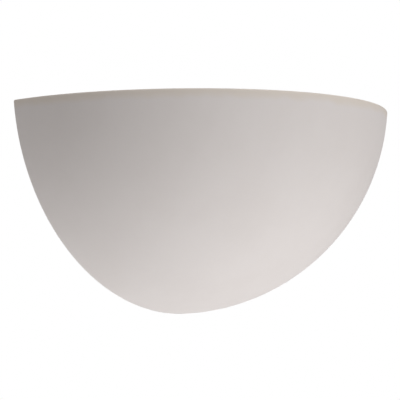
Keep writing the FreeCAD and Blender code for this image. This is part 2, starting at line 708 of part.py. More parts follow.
def lampholder_base():
    """The porcelain base: a shallow cup with a hole for the tube and two screw bosses."""
    cavity_radius = HOLDER_BODY_RADIUS - HOLDER_BASE_WALL
    outside = turned(
        [
            on_lamp_axis(ARM_TOP_Z),
            lamp_point(HOLDER_BODY_RADIUS - HOLDER_FOOT_CHAMFER, ARM_TOP_Z),
            lamp_point(HOLDER_BODY_RADIUS, ARM_TOP_Z + HOLDER_FOOT_CHAMFER),
            lamp_point(HOLDER_BODY_RADIUS, HOLDER_SPLIT_Z),
            on_lamp_axis(HOLDER_SPLIT_Z),
        ],
        on_lamp_axis(0),
    )
    cavity = rod(
        2 * cavity_radius, on_lamp_axis(UPPER_NUT_Z), Z_AXIS, HOLDER_SPLIT_Z - UPPER_NUT_Z
    )
    bosses = []
    holes = [rod(NIPPLE_DIAMETER + HOLE_CLEARANCE, on_lamp_axis(ARM_TOP_Z), Z_AXIS, HOLDER_BASE_FLOOR)]
    for place in joining_screw_places(ARM_TOP_Z):
        bosses.append(rod(JOINING_BOSS_DIAMETER, place, Z_AXIS, HOLDER_BASE_HEIGHT))
        holes.append(rod(JOINING_SCREW_DIAMETER + HOLE_CLEARANCE, place, Z_AXIS, HOLDER_BASE_HEIGHT))
        holes.append(rod(M3_HEAD_DIAMETER + HOLE_CLEARANCE, place, Z_AXIS, M3_HEAD_HEIGHT))
    return outside.cut(cavity).fuse(bosses).cut(holes)


def lampholder_body():
    """The porcelain body: a deep socket for the screw shell over a floor with two pockets."""
    shoulder_z = HOLDER_FLOOR_Z + SCREW_SHELL_ABOVE_FLOOR
    outside = turned(
        [
            on_lamp_axis(HOLDER_SPLIT_Z),
            lamp_point(HOLDER_BODY_RADIUS, HOLDER_SPLIT_Z),
            lamp_point(HOLDER_BODY_RADIUS, shoulder_z),
            lamp_point(HOLDER_LIP_RADIUS, shoulder_z + HOLDER_BODY_RADIUS - HOLDER_LIP_RADIUS),
            lamp_point(HOLDER_LIP_RADIUS, HOLDER_TOP_Z),
            on_lamp_axis(HOLDER_TOP_Z),
        ],
        on_lamp_axis(0),
    )
    outside = fillet_where(outside, HOLDER_EDGE_RADIUS, lambda edge: (
        is_flat_at(edge, on_lamp_axis(HOLDER_TOP_Z))
    ))
    socket = rod(
        2 * HOLDER_SOCKET_RADIUS, on_lamp_axis(HOLDER_FLOOR_Z), Z_AXIS, HOLDER_TOP_Z - HOLDER_FLOOR_Z
    )
    cutters = [socket, terminal_pocket(1), terminal_pocket(-1), centre_slot(), side_slot()]
    for place in joining_screw_places(HOLDER_SPLIT_Z):
        cutters.append(rod(JOINING_SCREW_DIAMETER, place, Z_AXIS, JOINING_SCREW_DEPTH_IN_BODY))
    for side in (1, -1):
        place = Vector(side * TERMINAL_OFFSET, LAMP_Y - side * TERMINAL_SCREW_SIDE_STEP, TERMINAL_PLATE_Z)
        cutters.append(rod(TERMINAL_SCREW_DIAMETER, place, Z_AXIS, SCREW_PAST_NUT))
    return outside.cut(cutters)


def terminal_pocket(side):
    """The cutter of one terminal's pocket in the underside of the lampholder's body."""
    inner_x = LEAD_PAIR_SPACING / 2
    low_x, high_x = sorted([side * inner_x, side * (inner_x + TERMINAL_POCKET_LENGTH)])
    return box(
        Vector(low_x, LAMP_Y - TERMINAL_POCKET_WIDTH / 2, HOLDER_SPLIT_Z),
        Vector(high_x, LAMP_Y + TERMINAL_POCKET_WIDTH / 2, TERMINAL_PLATE_Z),
    )


def centre_riser_x():
    """Where the centre contact rises through the floor of the body."""
    return TERMINAL_OFFSET - M3_HEAD_DIAMETER


def strip_slot(x):
    """The cutter of the slot through the floor of the body for a contact strip."""
    half_sheet = CONTACT_STRIP_SHEET / 2 + HOLE_CLEARANCE / 2
    half_width = CONTACT_STRIP_WIDTH / 2 + HOLE_CLEARANCE / 2
    return box(
        Vector(x - half_sheet, LAMP_Y - half_width, TERMINAL_PLATE_Z),
        Vector(x + half_sheet, LAMP_Y + half_width, HOLDER_FLOOR_Z),
    )


def centre_slot():
    """The slot of the centre contact."""
    return strip_slot(centre_riser_x())


def side_slot():
    """The slot of the side contact, under the wall of the screw shell."""
    return strip_slot(side_riser_x())


def side_riser_x():
    """Where the side contact rises: just inside the screw shell's wall, on the left."""
    return -(SCREW_SHELL_INNER_RADIUS - CONTACT_STRIP_SHEET / 2)


def strip_along_x(path, sheet, width):
    """A bent strip whose path, of (x, z) pairs, lies in the plane of the lamp's axis."""
    strip = bent_strip(path, sheet, width)
    strip.rotate(Vector(0, 0, 0), Z_AXIS, -90)
    strip.translate(Vector(0, LAMP_Y, 0))
    return strip


def terminal_screw_hole(side):
    """The cutter of the terminal screw's hole in a contact's plate."""
    place = Vector(side * TERMINAL_OFFSET, LAMP_Y - side * TERMINAL_SCREW_SIDE_STEP, HOLDER_SPLIT_Z)
    return rod(TERMINAL_SCREW_DIAMETER, place, Z_AXIS, TERMINAL_POCKET_DEPTH)


def centre_contact():
    """The brass leaf from the right terminal to the lamp's end contact."""
    half = CONTACT_STRIP_SHEET / 2
    plate_end = TERMINAL_OFFSET + TERMINAL_SCREW_DIAMETER
    leaf_z = LAMP_CONTACT_Z - CONTACT_GAP - half
    path = [
        (plate_end, TERMINAL_PLATE_Z - half),
        (centre_riser_x(), TERMINAL_PLATE_Z - half),
        (centre_riser_x(), HOLDER_FLOOR_Z + half),
        (LAMP_CONTACT_RADIUS / 2, leaf_z),
        (-LAMP_CONTACT_RADIUS / 2, leaf_z),
    ]
    return strip_along_x(path, CONTACT_STRIP_SHEET, CONTACT_STRIP_WIDTH).cut(terminal_screw_hole(1))


def side_contact():
    """The brass strip from the left terminal to the screw shell."""
    half = CONTACT_STRIP_SHEET / 2
    plate_start = -(TERMINAL_OFFSET - TERMINAL_SCREW_DIAMETER)
    path = [
        (plate_start, TERMINAL_PLATE_Z - half),
        (side_riser_x(), TERMINAL_PLATE_Z - half),
        (side_riser_x(), SCREW_SHELL_Z),
    ]
    return strip_along_x(path, CONTACT_STRIP_SHEET, CONTACT_STRIP_WIDTH).cut(terminal_screw_hole(-1))


def screw_shell():
    """The thin brass shell that the lamp screws into."""
    wall = tube(
        2 * SCREW_SHELL_OUTER_RADIUS, 2 * SCREW_SHELL_INNER_RADIUS, on_lamp_axis(SCREW_SHELL_Z),
        Z_AXIS, SCREW_SHELL_HEIGHT,
    )
    lip = tube(
        2 * SCREW_SHELL_OUTER_RADIUS, 2 * LAMP_INSULATOR_RADIUS, on_lamp_axis(SCREW_SHELL_Z),
        Z_AXIS, SCREW_SHELL_SHEET,
    )
    return wall.fuse(lip).removeSplitter()


def joining_screws():
    """The two screws that join the lampholder's base and body, as one group."""
    length = HOLDER_BASE_HEIGHT - M3_HEAD_HEIGHT + JOINING_SCREW_DEPTH_IN_BODY
    screws = []
    for under_head in joining_screw_places(ARM_TOP_Z + M3_HEAD_HEIGHT):
        screws.append(
            pan_screw(
                JOINING_SCREW_DIAMETER, M3_HEAD_DIAMETER, M3_HEAD_HEIGHT, under_head, Z_AXIS, length
            )
        )
    return Part.makeCompound(screws)


def holder_terminal_screws():
    """The two screws that clamp the leads in the lampholder, as one group."""
    length = TERMINAL_PLATE_Z - TERMINAL_HEAD_Z + SCREW_PAST_NUT
    screws = []
    for side in (1, -1):
        place = Vector(side * TERMINAL_OFFSET, LAMP_Y - side * TERMINAL_SCREW_SIDE_STEP, TERMINAL_HEAD_Z)
        screws.append(
            pan_screw(
                TERMINAL_SCREW_DIAMETER, M3_HEAD_DIAMETER, M3_HEAD_HEIGHT, place, Z_AXIS, length
            )
        )
    return Part.makeCompound(screws)


# Terminal block


def turret_places(x):
    """The axes of one way's two screws, as (x, z) pairs."""
    half = BLOCK_SCREW_SPACING / 2
    return [(x, BLOCK_ABOVE_ORIGIN - half), (x, BLOCK_ABOVE_ORIGIN + half)]


def terminal_block():
    """The nylon block: a base with a turret over each screw and a bore through each way."""
    block = box(
        Vector(BLOCK_LEFT_X, BLOCK_BASE_FRONT_Y, BLOCK_BOTTOM_Z),
        Vector(BLOCK_LEFT_X + BLOCK_LENGTH, BRACKET_FRONT_Y, BLOCK_BOTTOM_Z + BLOCK_HEIGHT),
    )
    turrets = []
    cutters = []
    for x in WAY_X:
        barrel_start = Vector(x, BARREL_Y, BLOCK_BOTTOM_Z)
        cutters.append(rod(BARREL_DIAMETER, barrel_start, Z_AXIS, BLOCK_HEIGHT))
        for screw_x, screw_z in turret_places(x):
            front = Vector(screw_x, BLOCK_FRONT_Y, screw_z)
            turrets.append(rod(BLOCK_TURRET_DIAMETER, front, Y_AXIS, BLOCK_DEPTH))
            cutters.append(rod(BLOCK_SCREW_DIAMETER, front, Y_AXIS, BARREL_Y - BLOCK_FRONT_Y))
    for screw_x in block_screw_x():
        front = Vector(screw_x, BLOCK_FRONT_Y, BLOCK_ABOVE_ORIGIN)
        cutters.append(rod(M3_DIAMETER + HOLE_CLEARANCE, front, Y_AXIS, BLOCK_DEPTH))
        sink_depth = BLOCK_DEPTH - BLOCK_BASE_DEPTH
        cutters.append(rod(M3_HEAD_DIAMETER + HOLE_CLEARANCE, front, Y_AXIS, sink_depth))
    return block.fuse(turrets).cut(cutters)


def terminal_barrels():
    """The three brass barrels inside the block, as one group."""
    start_z = BLOCK_ABOVE_ORIGIN - BARREL_LENGTH / 2
    barrels = []
    for x in WAY_X:
        barrel = tube(
            BARREL_DIAMETER, BARREL_BORE_DIAMETER, Vector(x, BARREL_Y, start_z), Z_AXIS, BARREL_LENGTH
        )
        for screw_x, screw_z in turret_places(x):
            front = Vector(screw_x, BLOCK_FRONT_Y, screw_z)
            barrel = barrel.cut(rod(BLOCK_SCREW_DIAMETER, front, Y_AXIS, BARREL_Y - BLOCK_FRONT_Y))
        barrels.append(barrel)
    return Part.makeCompound(barrels)


def terminal_block_screws():
    """The six wire screws of the block, as one group."""
    tip_y = BARREL_Y - LEAD_DIAMETER / 2 - LEAD_CLEARANCE
    head_y = BLOCK_FRONT_Y + BLOCK_SCREW_DIAMETER / 2
    screws = []
    for x in WAY_X:
        for screw_x, screw_z in turret_places(x):
            head = Vector(screw_x, head_y, screw_z)
            screws.append(rod(BLOCK_SCREW_DIAMETER, head, Y_AXIS, tip_y - head_y))
    return Part.makeCompound(screws)


def block_fixing_screws():
    """The two screws that hold the block to the bracket, as one group."""
    length = BLOCK_BASE_DEPTH + BRACKET_SHEET + SCREW_PAST_NUT
    screws = []
    for screw_x in block_screw_x():
        under_head = Vector(screw_x, BLOCK_BASE_FRONT_Y, BLOCK_ABOVE_ORIGIN)
        screws.append(
            pan_screw(M3_DIAMETER, M3_HEAD_DIAMETER, M3_HEAD_HEIGHT, under_head, Y_AXIS, length)
        )
    return Part.makeCompound(screws)


# Earth point


def earth_stud():
    """The stud pressed into the bracket for the earth lead."""
    tip_y = EARTH_NUT_Y - M4_NUT_THICKNESS - EARTH_STUD_PAST_NUT
    head_start = Vector(-EARTH_FROM_CENTRE, BRACKET_INSIDE_Y, 0)
    head = rod(STUD_HEAD_DIAMETER, head_start, Y_AXIS, STUD_HEAD_THICKNESS)
    shank = rod(M4_DIAMETER, Vector(-EARTH_FROM_CENTRE, tip_y, 0), Y_AXIS, BRACKET_INSIDE_Y - tip_y)
    return head.fuse(shank).removeSplitter()


def ring_terminal():
    """The ring on the earth stud with the crimped sleeve that holds the earth lead."""
    centre = Vector(-EARTH_FROM_CENTRE, RING_FRONT_Y, 0)
    ring = rod(RING_TERMINAL_DIAMETER, centre, Y_AXIS, RING_TERMINAL_SHEET)
    tongue = box(
        Vector(-EARTH_FROM_CENTRE - CRIMP_DIAMETER / 2, RING_FRONT_Y, CRIMP_TOP_Z - RING_TONGUE_LENGTH / 2),
        Vector(-EARTH_FROM_CENTRE + CRIMP_DIAMETER / 2, BRACKET_FRONT_Y, 0),
    )
    crimp_start = Vector(-EARTH_FROM_CENTRE, CRIMP_Y, CRIMP_BOTTOM_Z)
    crimp = rod(CRIMP_DIAMETER, crimp_start, Z_AXIS, CRIMP_LENGTH)
    holes = [
        rod(M4_DIAMETER + HOLE_CLEARANCE, centre, Y_AXIS, RING_TERMINAL_SHEET),
        rod(LEAD_DIAMETER + 2 * LEAD_CLEARANCE, crimp_start, Z_AXIS, CRIMP_LENGTH),
    ]
    return ring.fuse([tongue, crimp]).cut(holes)


def earth_washer():
    """The spring washer between the ring terminal and its nut."""
    start = Vector(-EARTH_FROM_CENTRE, EARTH_NUT_Y, 0)
    bore = M4_DIAMETER + HOLE_CLEARANCE
    return tube(SPRING_WASHER_DIAMETER, bore, start, Y_AXIS, SPRING_WASHER_THICKNESS)


def earth_nut():
    """The nut that clamps the ring terminal."""
    start = Vector(-EARTH_FROM_CENTRE, EARTH_NUT_Y, 0)
    return hexagon_nut(M4_NUT_ACROSS_FLATS, M4_NUT_THICKNESS, M4_DIAMETER, start, Y_AXIS * -1)


# Leads


def lamp_lead(side, way_x, slack_step, name):
    """A lead from one terminal of the lampholder, down the tube and up to the block.

    The side is 1 for the right terminal and -1 for the left one, and the slack step moves the
    middle of the rising stretch sideways.
    """
    terminal_x = side * (TERMINAL_OFFSET + TERMINAL_SCREW_DIAMETER)
    terminal_y = LAMP_Y + side * LEAD_PAIR_SPACING
    bore_x = side * LEAD_PAIR_SPACING / 2
    rising_y = BARREL_Y - LAMP_LEAD_FORWARD
    middle_z = (LEAD_LOW_Z + BLOCK_BOTTOM_Z) / 2
    points = [
        Vector(terminal_x, terminal_y, TERMINAL_LEAD_Z),
        Vector(bore_x, LAMP_Y, TERMINAL_LEAD_Z),
        Vector(bore_x, LAMP_Y, LEAD_LOW_Z),
        Vector(way_x - LAMP_LEAD_INWARD, rising_y, LEAD_LOW_Z + LAMP_LEAD_RISE),
        Vector(way_x + slack_step, rising_y, middle_z + slack_step),
        Vector(way_x, BARREL_Y, BLOCK_BOTTOM_Z - LEAD_IN_BLOCK),
        Vector(way_x, BARREL_Y, BLOCK_BOTTOM_Z + LEAD_IN_BLOCK),
    ]
    return lead(points, name)


def live_lead():
    """The lead from the centre contact's terminal to the right way of the block."""
    return lamp_lead(1, WAY_X[-1], LEAD_DIAMETER, "live_lead")


def neutral_lead():
    """The lead from the screw shell's terminal to the middle way of the block."""
    return lamp_lead(-1, WAY_X[-2], -LEAD_DIAMETER / 2, "neutral_lead")


def earth_lead():
    """The lead from the left way of the block, in front of the arm, to the earth point."""
    hang_y = ARM_FRONT_Y - EARTH_LEAD_FORWARD
    hang_z = ARM_SCREW_Z - EARTH_LEAD_HANG
    points = [
        Vector(WAY_X[0], BARREL_Y, BLOCK_BOTTOM_Z + LEAD_IN_BLOCK),
        Vector(WAY_X[0], BARREL_Y, BLOCK_BOTTOM_Z - LEAD_FROM_BLOCK),
        Vector(ARM_WIDTH / 2, hang_y, hang_z),
        Vector(-ARM_WIDTH / 2, hang_y, hang_z + LEAD_DIAMETER / 2),
        Vector(-EARTH_FROM_CENTRE, CRIMP_Y, CRIMP_BOTTOM_Z - LEAD_FROM_BLOCK),
        Vector(-EARTH_FROM_CENTRE, CRIMP_Y, CRIMP_BOTTOM_Z + EARTH_LEAD_IN_CRIMP),
    ]
    return lead(points, "earth_lead")


# Lamp


def bulb_outline(bulb_radius, neck_radius, shoulder_radius, bulb_centre_z, neck_end_z):
    """The edges of a pear-shaped outline, from the crown down to the end of the neck."""
    angle = math.radians(LAMP_SHOULDER_ANGLE)
    crown = on_lamp_axis(bulb_centre_z + bulb_radius)
    equator = lamp_point(bulb_radius, bulb_centre_z)
    join = lamp_point(bulb_radius * math.cos(angle), bulb_centre_z - bulb_radius * math.sin(angle))
    shoulder_x = neck_radius + shoulder_radius
    shoulder_z = bulb_centre_z - (bulb_radius + shoulder_radius) * math.sin(angle)
    half = angle / 2
    middle = lamp_point(
        shoulder_x - shoulder_radius * math.cos(half), shoulder_z + shoulder_radius * math.sin(half)
    )
    neck_start = lamp_point(neck_radius, shoulder_z)
    neck_end = lamp_point(neck_radius, neck_end_z)
    edges = [arc(crown, equator, join), arc(join, middle, neck_start), line(neck_start, neck_end)]
    return edges, crown, neck_end


def lamp_glass():
    """The hollow glass bulb; its neck ends inside the cap."""
    angle = math.radians(LAMP_SHOULDER_ANGLE)
    reach = LAMP_BULB_RADIUS * math.cos(angle) - LAMP_NECK_RADIUS
    shoulder_radius = reach / (1 - math.cos(angle))
    centre_z = LAMP_TOP_Z - LAMP_BULB_RADIUS
    neck_end_z = LAMP_CAP_Z + LAMP_CAP_SHEET
    glass = LAMP_GLASS_THICKNESS
    outer, outer_crown, outer_end = bulb_outline(
        LAMP_BULB_RADIUS, LAMP_NECK_RADIUS, shoulder_radius, centre_z, neck_end_z
    )
    inner, inner_crown, inner_end = bulb_outline(
        LAMP_BULB_RADIUS - glass, LAMP_NECK_RADIUS - glass, shoulder_radius + glass, centre_z, neck_end_z
    )
    closing = [line(outer_end, inner_end), line(inner_crown, outer_crown)]
    profile = Part.Wire(Part.__sortEdges__(outer + inner + closing))
    return Part.Face(profile).revolve(on_lamp_axis(0), Z_AXIS, 360)


def lamp_cap():
    """The thin screw cap, open at the top, with a lip that holds the insulator."""
    inner_radius = LAMP_CAP_RADIUS - LAMP_CAP_SHEET
    wall = tube(2 * LAMP_CAP_RADIUS, 2 * inner_radius, on_lamp_axis(LAMP_CAP_Z), Z_AXIS, LAMP_CAP_LENGTH)
    floor = tube(
        2 * LAMP_CAP_RADIUS, 2 * LAMP_CONTACT_RADIUS, on_lamp_axis(LAMP_CAP_Z), Z_AXIS, LAMP_CAP_SHEET
    )
    return wall.fuse(floor).removeSplitter()


def lamp_insulator():
    """The black glass cone between the cap and the end contact."""
    base_z = LAMP_CAP_Z - LAMP_INSULATOR_HEIGHT
    foot_radius = LAMP_CONTACT_RADIUS + LAMP_INSULATOR_STEP
    return Part.makeCone(
        foot_radius, LAMP_INSULATOR_RADIUS, LAMP_INSULATOR_HEIGHT, on_lamp_axis(base_z), Z_AXIS
    )


def lamp_contact():
    """The lamp's end contact, rounded where it meets the leaf."""
    button = rod(2 * LAMP_CONTACT_RADIUS, on_lamp_axis(LAMP_CONTACT_Z), Z_AXIS, LAMP_CONTACT_HEIGHT)
    return fillet_where(button, LAMP_CONTACT_HEIGHT / 2, lambda edge: (
        is_flat_at(edge, on_lamp_axis(LAMP_CONTACT_Z))
    ))


def pieces():
    """Every piece of the light, by its name."""
    stud = clamp_stud()
    seat = seat_washer()
    washer = nut_washer()
    nut = thumb_nut()
    return {
        "ceramic_shell": ceramic_shell(),
        "wall_bracket": wall_bracket(),
        "cable_grommet": cable_grommet(),
        "clamp_stud_left": mirrored(stud),
        "clamp_stud_right": stud,
        "seat_washer_left": mirrored(seat),
        "seat_washer_right": seat,
        "nut_washer_left": mirrored(washer),
        "nut_washer_right": washer,
        "thumb_nut_left": mirrored(nut),
        "thumb_nut_right": nut,
        "lampholder_arm": lampholder_arm(),
        "arm_screws": arm_screws(),
        "arm_nuts": arm_nuts(),
        "threaded_tube": threaded_tube(),
        "lock_nuts": lock_nuts(),
        "lampholder_base": lampholder_base(),
        "lampholder_body": lampholder_body(),
        "screw_shell": screw_shell(),
        "centre_contact": centre_contact(),
        "side_contact": side_contact(),
        "joining_screws": joining_screws(),
        "holder_terminal_screws": holder_terminal_screws(),
        "terminal_block": terminal_block(),
        "terminal_barrels": terminal_barrels(),
        "terminal_block_screws": terminal_block_screws(),
        "block_fixing_screws": block_fixing_screws(),
        "earth_stud": earth_stud(),
        "ring_terminal": ring_terminal(),
        "earth_washer": earth_washer(),
        "earth_nut": earth_nut(),
        "live_lead": live_lead(),
        "neutral_lead": neutral_lead(),
        "earth_lead": earth_lead(),
        "lamp_glass": lamp_glass(),
        "lamp_cap": lamp_cap(),
        "lamp_insulator": lamp_insulator(),
        "lamp_contact": lamp_contact(),
    }


os.makedirs("parts", exist_ok=True)
for name, shape in pieces().items():
    shape.exportStep(f"parts/{name}.step")
    print(f"{name}: {len(shape.Solids)} solid(s), {shape.Volume:.1f} mm3, valid {shape.isValid()}")
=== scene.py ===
import logging
import math
from dataclasses import dataclass, field
from enum import Enum
from typing import Mapping, Sequence, Union

import bmesh
import bpy
from mathutils import Matrix, Vector


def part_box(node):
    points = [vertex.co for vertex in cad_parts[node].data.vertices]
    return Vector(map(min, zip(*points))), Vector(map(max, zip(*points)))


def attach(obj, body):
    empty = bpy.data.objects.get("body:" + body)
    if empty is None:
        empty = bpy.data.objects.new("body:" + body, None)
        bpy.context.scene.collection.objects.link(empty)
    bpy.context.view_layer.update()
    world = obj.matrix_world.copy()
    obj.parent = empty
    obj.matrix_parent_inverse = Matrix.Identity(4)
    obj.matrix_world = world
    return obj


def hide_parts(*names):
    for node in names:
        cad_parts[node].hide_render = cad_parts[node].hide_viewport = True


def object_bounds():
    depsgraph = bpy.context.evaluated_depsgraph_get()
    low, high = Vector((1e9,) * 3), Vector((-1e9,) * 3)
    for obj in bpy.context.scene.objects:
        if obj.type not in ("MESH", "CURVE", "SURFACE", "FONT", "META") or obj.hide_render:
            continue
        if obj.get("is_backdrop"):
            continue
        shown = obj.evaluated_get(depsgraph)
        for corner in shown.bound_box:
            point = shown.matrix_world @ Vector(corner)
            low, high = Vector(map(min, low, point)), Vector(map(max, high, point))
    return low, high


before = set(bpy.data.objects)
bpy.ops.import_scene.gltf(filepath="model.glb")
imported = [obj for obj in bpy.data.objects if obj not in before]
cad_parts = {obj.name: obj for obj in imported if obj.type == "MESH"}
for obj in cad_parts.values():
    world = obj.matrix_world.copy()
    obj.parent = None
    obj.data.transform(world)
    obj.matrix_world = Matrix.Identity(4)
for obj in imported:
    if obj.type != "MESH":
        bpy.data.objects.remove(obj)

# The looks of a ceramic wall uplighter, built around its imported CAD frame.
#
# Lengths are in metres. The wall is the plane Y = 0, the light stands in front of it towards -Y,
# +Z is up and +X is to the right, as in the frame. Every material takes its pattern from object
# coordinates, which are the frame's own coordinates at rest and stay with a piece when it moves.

LOG = logging.getLogger("uplighter")

Colour = tuple[float, float, float]
Point = tuple[float, float, float]
Pair = tuple[float, float]


# Shader expressions


class Shade:
    """One number of a shader; Python's operators on it add the Math nodes that work it out."""

    def __init__(self, graph: "Graph", socket: bpy.types.NodeSocket) -> None:
        """Wrap an output socket.

        Args:
            graph: The graph that the socket's node belongs to.
            socket: The output socket that gives the number.
        """
        self.graph = graph
        self.socket = socket

    def __add__(self, other: "Numeric") -> "Shade":
        """Add a number or another value."""
        return self.graph.maths("ADD", self, other)

    def __sub__(self, other: "Numeric") -> "Shade":
        """Take a number or another value away."""
        return self.graph.maths("SUBTRACT", self, other)

    def __mul__(self, other: "Numeric") -> "Shade":
        """Multiply by a number or another value."""
        return self.graph.maths("MULTIPLY", self, other)

    def __radd__(self, other: float) -> "Shade":
        """Add this value to a plain number."""
        return self.graph.maths("ADD", other, self)

    def __rsub__(self, other: float) -> "Shade":
        """Take this value away from a plain number."""
        return self.graph.maths("SUBTRACT", other, self)

    def __rmul__(self, other: float) -> "Shade":
        """Multiply a plain number by this value."""
        return self.graph.maths("MULTIPLY", other, self)

    def ramp(self, low: float, high: float) -> "Shade":
        """A smooth step from 0 at a low value to 1 at a high one.

        Args:
            low: Where the step is 0; it may be above high, and then the step falls.
            high: Where the step is 1.

        Returns:
            The stepped value, kept between 0 and 1.
        """
        made = self.graph.node(
            "ShaderNodeMapRange",
            {"interpolation_type": "SMOOTHSTEP", "clamp": True},
            {"Value": self, "From Min": low, "From Max": high, "To Min": 0.0, "To Max": 1.0},
        )
        return Shade(self.graph, made.outputs[0])


Numeric = Union[Shade, float]
Input = Union[Shade, bpy.types.NodeSocket, float, Sequence[float]]


class Graph:
    """The node tree of one material."""

    def __init__(self, tree: bpy.types.NodeTree) -> None:
        """Start an empty graph.

        Args:
            tree: The node tree to clear and fill.
        """
        self.tree = tree
        self.tree.nodes.clear()

    def node(
        self,
        kind: str,
        settings: Mapping[str, object] | None = None,
        inputs: Mapping[str | int, Input] | None = None,
    ) -> bpy.types.Node:
        """Add any node.

        Args:
            kind: The node's type, such as ShaderNodeTexNoise.
            settings: The node's own settings, which are set first.
            inputs: What each input socket holds or is linked to, by the socket's name or number.

        Returns:
            The new node.
        """
        made = self.tree.nodes.new(kind)
        for name, setting in (settings or {}).items():
            setattr(made, name, setting)
        for name, given in (inputs or {}).items():
            socket = made.inputs[name]
            if isinstance(given, Shade):
                self.tree.links.new(given.socket, socket)
            elif isinstance(given, bpy.types.NodeSocket):
                self.tree.links.new(given, socket)
            else:
                socket.default_value = given
        return made

    def maths(self, operation: str, *values: Numeric) -> Shade:
        """Work out one Math operation.

        Args:
            operation: The Math node's operation.
            values: Its numbers or values, in order.

        Returns:
            The result.
        """
        made = self.node("ShaderNodeMath", {"operation": operation}, dict(enumerate(values)))
        return Shade(self, made.outputs[0])

    def place(self) -> bpy.types.NodeSocket:
        """The object coordinates, which are the frame's coordinates at rest."""
        return self.node("ShaderNodeTexCoord").outputs["Object"]

    def along(self, axis: str) -> Shade:
        """One coordinate of the object coordinates.

        Args:
            axis: X, Y or Z.

        Returns:
            The coordinate in metres.
        """
        made = self.node("ShaderNodeSeparateXYZ", None, {"Vector": self.place()})
        return Shade(self, made.outputs[axis])

    def stretched(self, stretch: Point) -> bpy.types.NodeSocket:
        """The object coordinates multiplied along each axis.

        Args:
            stretch: The factor along X, Y and Z.

        Returns:
            The stretched coordinates.
        """
        made = self.node(
            "ShaderNodeVectorMath", {"operation": "MULTIPLY"}, {0: self.place(), 1: stretch}
        )
        return made.outputs[0]

    def noise(
        self, grain: float, detail: float = 3.0, roughness: float = 0.5, stretch: Point = (1, 1, 1)
    ) -> Shade:
        """Cloudy noise about 0.5.

        Args:
            grain: The size of one cloud, in metres.
            detail: How many finer layers are added.
            roughness: How strong the finer layers are.
            stretch: The factor on the coordinates along X, Y and Z.

        Returns:
            The noise, from 0 to 1.
        """
        made = self.node(
            "ShaderNodeTexNoise",
            {"noise_dimensions": "3D"},
            {
                "Vector": self.stretched(stretch),
                "Scale": 1.0 / grain,
                "Detail": detail,
                "Roughness": roughness,
            },
        )
        return Shade(self, made.outputs[0])

    def tint(self, share: Numeric, first: Input, second: Input) -> bpy.types.NodeSocket:
        """Mix two colours.

        Args:
            share: How much of the second colour there is, from 0 to 1.
            first: The first colour.
            second: The second colour.

        Returns:
            The mixed colour's socket.
        """
        made = self.node(
            "ShaderNodeMix",
            {"data_type": "RGBA", "blend_type": "MIX"},
            {0: share, 6: opaque(first), 7: opaque(second)},
        )
        return made.outputs[2]

    def bump(self, height: Shade, depth: float) -> bpy.types.NodeSocket:
        """Turn a height into a normal.

        Args:
            height: The height, from 0 to 1.
            depth: How deep a height of 1 is, in metres.

        Returns:
            The normal's socket.
        """
        made = self.node(
            "ShaderNodeBump", None, {"Height": height, "Distance": depth, "Strength": 1.0}
        )
        return made.outputs["Normal"]

    def surface(self, inputs: Mapping[str, Input]) -> None:
        """Finish the graph with one Principled surface.

        Args:
            inputs: What each of the surface's sockets holds or is linked to.
        """
        shader = self.node("ShaderNodeBsdfPrincipled", None, inputs)
        self.node("ShaderNodeOutputMaterial", None, {"Surface": shader.outputs[0]})


def opaque(given: Input) -> Input:
    """A plain colour with its fourth number; anything else as it is.

    Args:
        given: A colour, a value or a socket.

    Returns:
        What an input socket takes.
    """
    if isinstance(given, (Shade, bpy.types.NodeSocket)):
        return given
    return (*given, 1.0)


def new_graph(name: str) -> tuple[bpy.types.Material, Graph]:
    """A new material and its empty graph.

    Args:
        name: The material's name.

    Returns:
        The material and the graph.
    """
    material = bpy.data.materials.new(name)
    material.use_nodes = True
    return material, Graph(material.node_tree)


# Finishes


@dataclass(frozen=True)
class Bisque:
    """Unglazed, fired white earthenware, with a faintly warmer band under the rim."""

    rim_height: float
    body: Colour = (0.832, 0.800, 0.784)
    cloud: Colour = (0.792, 0.756, 0.737)
    rim: Colour = (0.800, 0.735, 0.655)
    roughness: float = 0.92
    rim_band: float = 0.0085
    rim_share: float = 0.75
    cloud_size: float = 0.055
    grain_size: float = 0.0011
    grain_depth: float = 0.00009
    sponge_size: float = 0.011
    sponge_depth: float = 0.00016
    cloud_share: float = 0.55
    speckle_share: float = 0.12
    speckle_grains: float = 1.8
    waver_size: float = 0.020
    waver_depth: float = 0.006
    band_fade: float = 0.25
    specular: float = 0.25

    def make(self) -> bpy.types.Material:
        """Build the material.

        Returns:
            The material.
        """
        material, graph = new_graph("unglazed_bisque")
        clouds = graph.noise(self.cloud_size, 4.0, 0.55).ramp(0.30, 0.75)
        speckle = graph.noise(self.grain_size * self.speckle_grains, 2.0, 0.6).ramp(0.35, 0.80)
        below_rim = self.rim_height - graph.along("Z")
        waver = (graph.noise(self.waver_size, 2.0) - 0.5) * self.waver_depth
        band = (below_rim + waver).ramp(self.rim_band, self.rim_band * self.band_fade)
        mottle = clouds * self.cloud_share + speckle * self.speckle_share
        base = graph.tint(mottle, self.body, self.cloud)
        base = graph.tint(band * self.rim_share, base, self.rim)
        grain = graph.noise(self.grain_size, 3.0, 0.65)
        sponge = graph.noise(self.sponge_size, 3.0, 0.5)
        height = grain * self.grain_depth + sponge * self.sponge_depth
        graph.surface({
            "Base Color": base,
            "Roughness": self.roughness,
            "Specular IOR Level": self.specular,
            "Normal": graph.bump(height, 1.0),
        })
        return material


